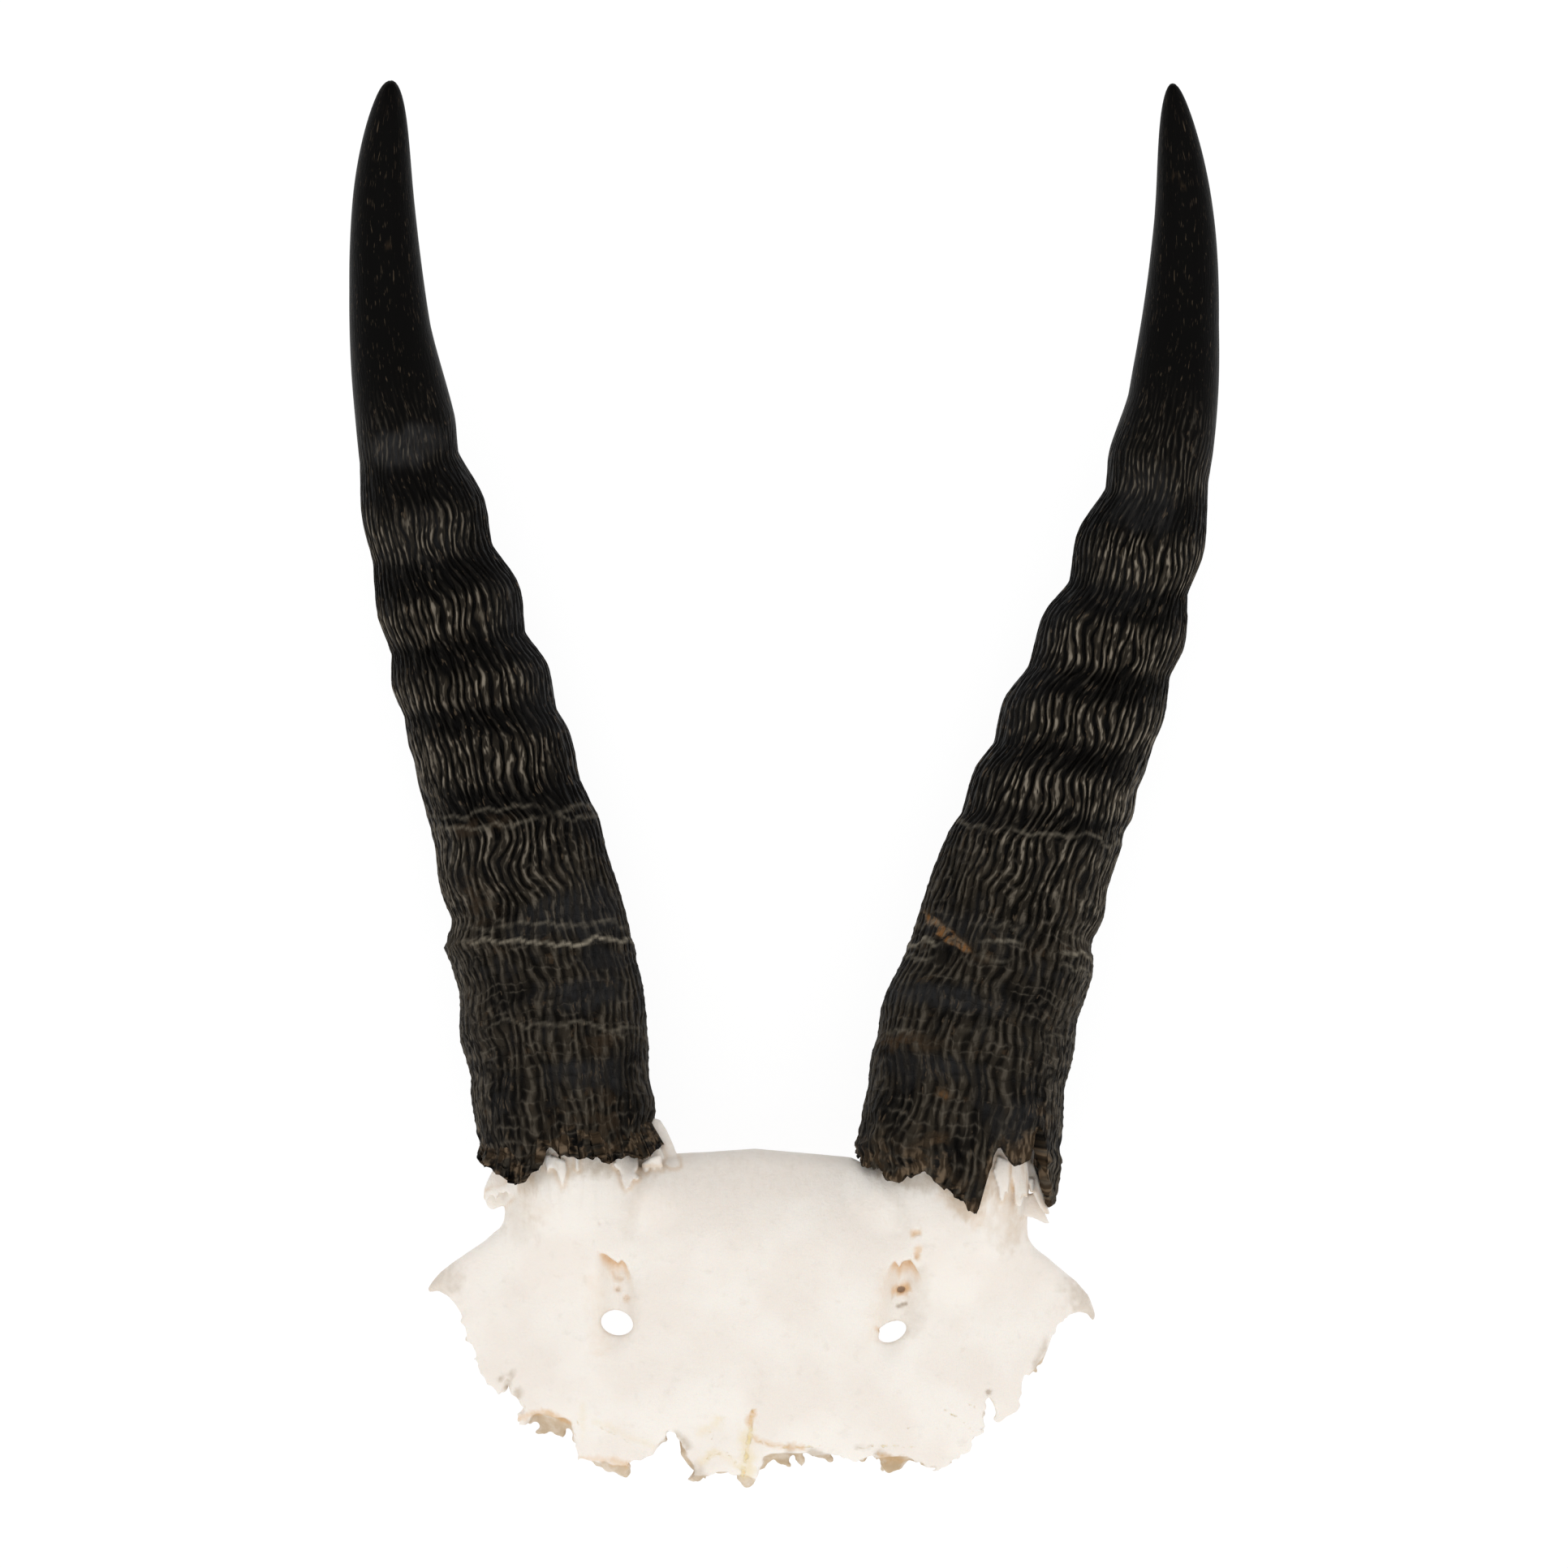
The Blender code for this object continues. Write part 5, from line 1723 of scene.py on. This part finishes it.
class VoxelBlock:
    """A block of distances, in millimetres, that shapes are joined to and cut from.

    far is the distance where nothing is near.  Distances past band are cut off in the surface.
    """

    far: float = 50.0
    band: float = 3.0

    def __init__(self, xs: np.ndarray, ys: np.ndarray, zs: np.ndarray) -> None:
        """Start with nothing in the block."""
        self.axes = (xs, ys, zs)
        self.field = np.full((len(xs), len(ys), len(zs)), self.far, np.float32)

    def window(self, low: tuple, high: tuple) -> tuple[tuple[slice, ...], tuple[np.ndarray, ...]]:
        """The slices of the cells between two corners, and their coordinates."""
        spans = []
        for axis, start, end in zip(self.axes, low, high):
            first, last = np.searchsorted(axis, start), np.searchsorted(axis, end)
            spans.append(slice(max(int(first) - 1, 0), int(last) + 1))
        return tuple(spans), np.ix_(*(axis[span] for axis, span in zip(self.axes, spans)))

    def join(self, shape: Field, low: tuple, high: tuple, reach: float) -> None:
        """Add a shape, given as a distance of x, y and z, with a fillet."""
        spans, place = self.window(low, high)
        self.field[spans] = smooth_min(self.field[spans], shape(*place), reach)

    def cut(self, shape: Field, low: tuple, high: tuple, reach: float) -> None:
        """Take a shape away, with a rounded edge."""
        spans, place = self.window(low, high)
        self.field[spans] = smooth_max(self.field[spans], -shape(*place), reach)

    def wear_down(self, depth: Field, low: tuple, high: tuple) -> None:
        """Move the surface in by a depth that depends on x and y."""
        spans, (x, y, _) = self.window(low, high)
        self.field[spans] += depth(x, y)

    def shift(self, outline: Field, low: tuple, high: tuple, amount: float) -> None:
        """Move the surface out by an amount inside an outline, or in where it is below 0."""
        spans, place = self.window(low, high)
        old, side = self.field[spans], outline(*place)
        if amount > 0.0:
            self.field[spans] = np.minimum(old, smooth_max(old - amount, side, 0.2))
        else:
            self.field[spans] = np.maximum(old, smooth_min(old - amount, -side, 0.2))

    def surface(self) -> tuple[np.ndarray, np.ndarray]:
        """The points and quads of the surface of the largest body, facing outwards."""
        grid = openvdb.FloatGrid(self.far)
        grid.copyFromArray(np.clip(self.field, -self.band, self.band).astype(np.float32))
        points, quads = grid.convertToQuads(0.0)
        quads = largest_body(len(points), np.asarray(quads, np.int64))
        used, quads = np.unique(quads, return_inverse=True)
        quads = quads.reshape(-1, 4)
        columns = [np.interp(points[used, k], np.arange(len(axis)), axis) for k, axis in enumerate(self.axes)]
        points = np.stack(columns, axis=-1)
        corners = points[quads]
        volume = np.einsum("ij,ij->i", corners[:, 0], np.cross(corners[:, 1], corners[:, 2])).sum()
        return points, quads if volume > 0.0 else quads[:, ::-1]


def largest_body(count: int, quads: np.ndarray) -> np.ndarray:
    """Keep the quads of the body that has the most of them.

    Args:
        count: The number of points.
        quads: The corners of each quad.

    Returns:
        The quads that are kept.
    """
    labels = np.arange(count)
    edges = np.concatenate([quads[:, [k, (k + 1) % 4]] for k in range(4)])
    while True:
        low = labels[edges].min(axis=1)
        merged = labels.copy()
        np.minimum.at(merged, edges[:, 0], low)
        np.minimum.at(merged, edges[:, 1], low)
        merged = merged[merged]
        if np.array_equal(merged, labels):
            break
        labels = merged
    of_quads = labels[quads[:, 0]]
    return quads[of_quads == np.bincount(of_quads).argmax()]


@dataclass
class SkullPlate:
    """The frontal bone with its horn cores, hollowed behind and broken along its sutures."""

    cells_x: Points = (
        (-57.5, -47.0, 0.44), (-47.0, -20.0, 0.3), (-20.0, 11.0, 0.44), (11.0, 42.0, 0.3), (42.0, 50.5, 0.44),
    )
    cells_y: Points = (
        (-110.0, -95.0, 0.34), (-95.0, -90.0, 0.44), (-90.0, -56.0, 0.3), (-56.0, -49.0, 0.44),
        (-49.0, 3.5, 2.0),
    )
    cells_z: Points = ((-0.9, 31.5, 0.36),)
    shoulders: Points = ((-21.5, -61.5, 8.0, 2.8), (16.5, -62.0, 8.0, 2.4))
    midline_x: float = -4.8
    forehead_height: float = 27.0
    brow_half_width: float = 51.0
    brow_fall: float = 14.5
    brow_curve: float = 2.6
    crown_start_y: float = -73.0
    crown_run: float = 16.0
    crown_fall: float = 6.0
    nose_start_y: float = -90.0
    nose_run: float = 18.0
    nose_fall: float = 3.5
    wing_foot: float = 36.0
    wing_slope: float = 0.5
    nose_foot_y: float = -86.0
    nose_slope: float = 0.75
    shell_middle: float = 5.0
    shell_edge: float = 2.8
    eye_socket: Points = ((43.0, -91.0), (26.0, 21.0))
    brain_hollow: Points = ((0.0, -61.0), (19.0, 24.0))
    nasal_hollow: Points = ((0.0, -108.0), (15.5, 20.0))
    hollow_narrowing: float = 0.86
    hollow_top: float = 31.0
    hollow_floor: float = -3.0
    hole_flare: float = 5.5
    neck_fillet: float = 3.0
    ragged: float = 0.5

    def forehead(self, x: np.ndarray, y: np.ndarray) -> np.ndarray:
        """Height of the outer face before its details."""
        spread = np.abs(x - self.midline_x) / self.brow_half_width
        crown = np.maximum(y - self.crown_start_y, 0.0) / self.crown_run
        nose = np.maximum(self.nose_start_y - y, 0.0) / self.nose_run
        fall = spread**self.brow_curve * self.brow_fall
        fall = fall + crown**2 * self.crown_fall + nose**2 * self.nose_fall
        rise = 0.0
        for middle_x, middle_y, reach, height in self.shoulders:
            rise = rise + height * smooth_step(1.0 - np.hypot(x - middle_x, y - middle_y) / reach)
        return self.forehead_height - fall + rise

    def underside(self, x: np.ndarray, y: np.ndarray) -> np.ndarray:
        """Height of the back before it is hollowed."""
        wing = (np.abs(x - self.midline_x) - self.wing_foot) * self.wing_slope
        nose = (self.nose_foot_y - y) * self.nose_slope
        return np.maximum(np.maximum(wing, nose), 0.0)

    def hollow_roof(self, x: np.ndarray, y: np.ndarray) -> np.ndarray:
        """Height of the roofs of the hollows."""
        spread = np.minimum(np.abs(x - self.midline_x) / self.brow_half_width, 1.0)
        return self.forehead(x, y) - self.shell_middle + (self.shell_middle - self.shell_edge) * spread

    def ledge_share(self, x: np.ndarray, y: np.ndarray) -> tuple[np.ndarray, np.ndarray]:
        """How far each place is on a ledge, and how deep that ledge lies."""
        wobble = 0.3 * value_noise(x / 1.1, y / 1.1, np.zeros(1), 77)
        share, drop = np.zeros(np.broadcast(x, y).shape), np.zeros(np.broadcast(x, y).shape)
        for ledge in LEDGES:
            off = segment_distance(x, y, ledge.start, ledge.end)
            on = smooth_step((ledge.radius - off + wobble) / 0.35 + 0.5)
            share = np.maximum(share, on)
            drop = np.maximum(drop, on * ledge.drop)
        return share, drop

    def groove_share(self, groove: Groove, x: np.ndarray, y: np.ndarray) -> tuple[np.ndarray, np.ndarray]:
        """How far each place is in a groove from side to side, and how far it is below its torn lip."""
        start, end = groove.course[0][0], groove.course[-1][0]
        middle, half = np.moveaxis(through(groove.course, np.clip(y, start, end)), -1, 0)
        lips = np.array(groove.lip)
        return bump(x - middle, half, half), np.interp(x, lips[:, 0], lips[:, 1]) - y

    def groove_depth(self, groove: Groove, x: np.ndarray, y: np.ndarray) -> np.ndarray:
        """How deep a groove is at each place: it fades out towards the nose."""
        share, below = self.groove_share(groove, x, y)
        rise = fade(y, groove.course[0][0], groove.hole[1] + 1.5)
        return groove.depth * share * rise * smooth_step(below / 0.35 + 0.5)

    def lip_stain_and_shade(self, groove: Groove, x: np.ndarray, y: np.ndarray) -> np.ndarray:
        """How strongly the amber under a torn lip shows at each place: amber staining, and painted shade
        below the torn step.
        """
        share, below = self.groove_share(groove, x, y)
        return smooth_step(share / 0.5) * smooth_step(below / 0.2 + 0.5) * smooth_step(1.0 - below / 2.6)

    def face(self, x: np.ndarray, y: np.ndarray) -> np.ndarray:
        """Height of the outer face with its swells and ledges."""
        height = self.forehead(x, y)
        zero = np.zeros(1)
        height = height + 0.16 * rough_noise(x / 9.0, y / 9.0, zero, 31, 2)
        height = height + 0.03 * value_noise(x / 1.6, y / 1.6, zero, 5)
        return height - self.ledge_share(x, y)[1]

    def outline(self, block: VoxelBlock) -> tuple[np.ndarray, np.ndarray]:
        """The distance to the outline, and how ragged its nearest stretch is."""
        x, y = block.axes[0][:, None], block.axes[1][None, :]
        corners = np.array([point for stretch in OUTLINE for point in stretch.points])
        distance = polygon_distance(x, y, corners)
        course = next(stretch.points for stretch in OUTLINE if stretch.edge is Edge.BROKEN)
        broken = course_distance(x, y, course)
        share = smooth_step(1.5 - (broken - np.abs(distance)))
        return distance, share

    def shell(self, x: np.ndarray, y: np.ndarray, z: np.ndarray, block: VoxelBlock) -> np.ndarray:
        """The distance to the plate before its hollows and holes are cut."""
        top = self.face(x, y)
        slope = np.hypot(*np.gradient(top[..., 0], block.axes[0], block.axes[1]))[..., None]
        steep = np.sqrt(1.0 + np.minimum(slope, 1.2) ** 2)
        slab = np.maximum((z - top) / steep, self.underside(x, y) - z)
        edge, share = (values[..., None] for values in self.outline(block))
        turn = z / 1.3
        wobble = value_noise(x / 1.0, y / 1.0, np.zeros(1), 3) * np.cos(turn)
        wobble = wobble + value_noise(x / 1.0, y / 1.0, np.zeros(1), 4) * np.sin(turn)
        edge = edge + self.ragged * share * wobble
        return smooth_max(slab, edge, 2.2 - 1.8 * share)

    def hollow(self, place: tuple, side: int) -> Field:
        """A hollow of the back, under its roof, as a distance."""
        (offset, middle_y), (half_width, half_length) = place
        middle_x = self.midline_x + side * offset

        def distance(x: np.ndarray, y: np.ndarray, z: np.ndarray) -> np.ndarray:
            """The distance to the hollow."""
            rise = (z - self.hollow_floor) / (self.hollow_top - self.hollow_floor)
            narrow = 1.0 - (1.0 - self.hollow_narrowing) * rise
            ring = np.hypot((x - middle_x) / half_width, (y - middle_y) / half_length)
            return smooth_max((ring - narrow) * half_width * 0.9, z - self.hollow_roof(x, y), 3.0)

        return distance

    def core(self, horn: HornShape) -> Field:
        """A horn core round its spine, as a distance."""

        def distance(x: np.ndarray, y: np.ndarray, z: np.ndarray) -> np.ndarray:
            """The distance to the core."""
            middle_x, middle_z = np.moveaxis(through(horn.spine, y), -1, 0)
            lean = np.gradient(middle_x[0, :, 0], y[0, :, 0])[None, :, None]
            upright = 1.0 / np.sqrt(1.0 + lean**2)
            side = np.hypot((x - middle_x) * upright, z - middle_z) - horn.core_radius(y)
            return np.maximum(side, np.maximum(y - horn.core_end_y, horn.core_foot_y - y))

        return distance

    def brow_hole(self, groove: Groove) -> Field:
        """A hole through the brow, which widens into the eye socket."""

        def distance(x: np.ndarray, y: np.ndarray, z: np.ndarray) -> np.ndarray:
            """The distance to the hole."""
            along, over = turned(x, y, groove.hole, groove.hole_turn)
            depth = np.clip((self.forehead_height - 4.0 - z) / self.forehead_height, 0.0, 1.0)
            wide = groove.hole_radii[0] + depth * (self.hole_flare - groove.hole_radii[0])
            high = groove.hole_radii[1] + depth * (self.hole_flare - groove.hole_radii[1])
            return (np.hypot(along / wide, over / high) - 1.0) * np.minimum(wide, high)

        return distance

    def pit(self, pit: Pit) -> Field:
        """The outline of a pit as a distance."""

        def distance(x: np.ndarray, y: np.ndarray, _: np.ndarray) -> np.ndarray:
            """The distance to the outline at x and y."""
            along, over = turned(x, y, pit.place, pit.turn)
            return (np.hypot(along / pit.radii[0], over / pit.radii[1]) - 1.0) * min(pit.radii)

        return distance

    def flake(self, flake: Flake) -> Field:
        """The outline of a flake as a distance."""
        corners = np.array(flake.outline)

        def distance(x: np.ndarray, y: np.ndarray, _: np.ndarray) -> np.ndarray:
            """The distance to the outline at x and y."""
            return polygon_distance(x, y, corners)

        return distance

    def shard(self, shard: Shard) -> Field:
        """A shard as a distance: a thin slab within its outline."""
        outline = self.flake(shard)
        (middle_x, middle_y, middle_z), (slope_x, slope_y) = shard.place, shard.slopes
        steep = math.hypot(1.0, slope_x, slope_y)

        def distance(x: np.ndarray, y: np.ndarray, z: np.ndarray) -> np.ndarray:
            """The distance to the slab."""
            plane = middle_z + slope_x * (x - middle_x) + slope_y * (y - middle_y)
            slab = np.abs(z - plane) / steep - shard.thickness / 2.0
            return smooth_max(slab, outline(x, y, z), 0.3)

        return distance

    def add_torn_bits(self, block: VoxelBlock) -> None:
        """Sink the pits, and raise the flakes and the shards."""
        for pit in PITS:
            x, y = pit.place
            block.shift(self.pit(pit), (x - 2, y - 2, 15), (x + 2, y + 2, 31), -pit.depth)
        for flake in FLAKES:
            low, high = np.min(flake.outline, axis=0) - 1.0, np.max(flake.outline, axis=0) + 1.0
            block.shift(self.flake(flake), (*low, 20), (*high, 31), flake.thickness)
        for shard in SHARDS:
            low, high = np.min(shard.outline, axis=0) - 1.0, np.max(shard.outline, axis=0) + 1.0
            block.join(self.shard(shard), (*low, 14), (*high, 31), 0.3)

    def block(self) -> VoxelBlock:
        """Join and cut all the shapes of the bone."""
        xs, ys, zs = (graded(cells) for cells in (self.cells_x, self.cells_y, self.cells_z))
        block = VoxelBlock(xs, ys, zs)
        everywhere = ((xs[0], ys[0], zs[0]), (xs[-1], ys[-1], zs[-1]))
        block.field[:] = self.shell(*np.ix_(xs, ys, zs), block)
        for horn in HORNS:
            middle = horn.spine[3][1]
            block.join(self.core(horn), (middle - 22, -86, -1), (middle + 22, 4, 32), self.neck_fillet)
        for groove in GROOVES:
            x, y = groove.hole
            depth = partial(self.groove_depth, groove)
            block.wear_down(depth, (x - 6, y - 8, 15), (x + 9, y + 14, 32))
        middle = ((self.brain_hollow, 0), (self.nasal_hollow, 0))
        for place, side in (*middle, (self.eye_socket, -1), (self.eye_socket, 1)):
            block.cut(self.hollow(place, side), *everywhere, 1.2)
        for groove in GROOVES:
            x, y = groove.hole
            block.cut(self.brow_hole(groove), (x - 8, y - 8, -1), (x + 8, y + 8, 32), 0.5)
        self.add_torn_bits(block)
        return block

    def thin_out(self, piece: bpy.types.Object) -> None:
        """Decimate the piece towards MOST_TRIANGLES triangles when it has more."""
        count = triangle_count(piece)
        if count > MOST_TRIANGLES:
            modifier = piece.modifiers.new("thin out", "DECIMATE")
            modifier.ratio = MOST_TRIANGLES / count
            settle(piece)

    def colour_marks(self, piece: bpy.types.Object) -> None:
        """Store what the finish needs to know about each point."""
        x, y, z = (places_of(piece).astype(float) / METRES).T
        # Each point's amber, brown and straw shares: stains, and painted shade where shade falls.
        stain = np.zeros((len(x), len(Tint)))
        ragged = 0.5 * rough_noise(x / 0.9, y / 0.9, np.zeros(1), 91, 3)
        for stroke in STROKES:
            near = course_distance(x, y, stroke.points) / stroke.radius + ragged
            column = stroke.tint.value
            stain[:, column] = np.maximum(stain[:, column], stroke.strength * smooth_step((1.7 - near) / 1.5))
        amber = stain[:, Tint.AMBER.value]
        # Amber under each torn lip: staining, and painted shade below the torn step.
        for groove in GROOVES:
            np.maximum(amber, 0.75 * self.lip_stain_and_shade(groove, x, y), out=amber)
        for flake in FLAKES + SHARDS:
            off = polygon_distance(x, y, np.array(flake.outline))
            stain *= 1.0 - 0.85 * smooth_step(0.5 - off / 0.3)[:, None]
            # Painted shadow: a brown and amber ring round each flake and shard.
            for tint, strength in ((Tint.SHADE, 0.22), (Tint.AMBER, 0.25)):
                column = stain[:, tint.value]
                np.maximum(column, strength * bump(off - 0.2, 0.3, 0.7), out=column)
        lines = np.full_like(x, 9.0)
        for suture in SUTURES:
            lines = np.minimum(lines, course_distance(x, y, suture.points) + 0.45 * (1.0 - suture.strength))
        face = self.forehead(x, y)
        ledge, _ = self.ledge_share(x, y)
        deep = smooth_step((face - z - 0.9) / 2.5) * smooth_step((-96.0 - y) / 3.0)
        mark(piece, Mark.STAIN_AND_SHADE, stain * smooth_step((z - face + 5.0) / 3.0)[:, None])
        mark(piece, Mark.SUTURE, np.where(z > face - 1.5, lines, 9.0))
        mark(piece, Mark.LAYER, np.clip(np.maximum(ledge * 0.75, deep * 0.9), 0.0, 1.0))

    def build(self, finish: BoneFinish) -> bpy.types.Object:
        """Make the bone and dress it.

        Args:
            finish: The bone's finish.

        Returns:
            The finished piece.
        """
        points, quads = self.block().surface()
        piece = make_object("frontal_bone", points, quads.tolist())
        self.thin_out(piece)
        piece.data.shade_smooth()
        self.colour_marks(piece)
        piece.data.materials.clear()
        piece.data.materials.append(finish.material())
        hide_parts("skull_plate")
        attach(piece, BODY)
        return piece


@dataclass(frozen=True)
class FloorFinish:
    """A matt white floor that is lit from within, so that it has no grey shadows."""

    name: str = "pale floor"
    colour: Colour = (0.12, 0.12, 0.12, 1.0)
    glow: float = 0.92

    def material(self) -> bpy.types.Material:
        """Make the material."""
        material, shader = new_material(self.name)
        shader.inputs["Base Color"].default_value = self.colour
        shader.inputs["Emission Color"].default_value = (1.0, 1.0, 1.0, 1.0)
        shader.inputs["Emission Strength"].default_value = self.glow
        shader.inputs["Roughness"].default_value = 0.9
        shader.inputs["Specular IOR Level"].default_value = 0.0
        return material


@dataclass
class Studio:
    """A pale floor, soft light from all sides, and a camera that looks down. In metres."""

    floor_size: float = 6.0
    floor_drop: float = 0.0004
    camera_height: float = 1.362
    lens: float = 200.0
    sensor: float = 36.0
    sky: float = 0.8
    side_power: float = 2.0
    nose_power: float = 6.0

    def build(self) -> None:
        """Set up the floor, the lights, the world and the camera."""
        self.floor()
        self.lamp("left light", (-1.15, 0.0, 0.7), (1.0, 1.6), self.side_power)
        self.lamp("right light", (1.15, 0.0, 0.7), (1.0, 1.6), self.side_power)
        self.lamp("nose light", (0.0, -0.9, 1.15), (2.0, 1.6), self.nose_power)
        world = bpy.data.worlds.new("studio")
        world.use_nodes = True
        world.node_tree.nodes["Background"].inputs["Strength"].default_value = self.sky
        world.node_tree.nodes["Background"].inputs["Color"].default_value = (1.0, 1.0, 1.0, 1.0)
        scene = bpy.context.scene
        scene.world = world
        scene.view_settings.view_transform = "Standard"
        camera = bpy.data.cameras.new("camera")
        camera.lens = self.lens
        camera.sensor_width = self.sensor
        camera.clip_start = 0.05
        holder = bpy.data.objects.new("camera", camera)
        holder.location = (0.0, 0.0, self.camera_height)
        scene.collection.objects.link(holder)
        scene.camera = holder

    def floor(self) -> None:
        """Lay the floor just under the plate."""
        half = self.floor_size / 2.0
        mesh = bpy.data.meshes.new("floor")
        sides = ((-half, -half), (half, -half), (half, half), (-half, half))
        corners = [(x, y, -self.floor_drop) for x, y in sides]
        mesh.from_pydata(corners, [], [(0, 1, 2, 3)])
        mesh.materials.append(FloorFinish().material())
        item = bpy.data.objects.new("floor", mesh)
        bpy.context.scene.collection.objects.link(item)

    def lamp(self, name: str, place: tuple, size: tuple, power: float) -> None:
        """Hang a soft light that faces the middle of the plate."""
        light = bpy.data.lights.new(name, "AREA")
        light.shape = "RECTANGLE"
        light.size, light.size_y = size
        light.energy = power
        item = bpy.data.objects.new(name, light)
        item.location = place
        item.rotation_euler = (-item.location).to_track_quat("-Z", "Y").to_euler()
        bpy.context.scene.collection.objects.link(item)


def main() -> None:
    """Build the piece and the studio, and log the triangle counts."""
    for horn in HORNS:
        sheath = HornSheath(horn).build(KeratinFinish(horn.node.replace("sheath", "keratin")))
        LOG.info("%s: %d triangles", sheath.name, triangle_count(sheath))
    bone = SkullPlate().build(BoneFinish("dry bone"))
    LOG.info("%s: %d triangles", bone.name, triangle_count(bone))
    Studio().build()


if __name__ == "__main__":
    main()
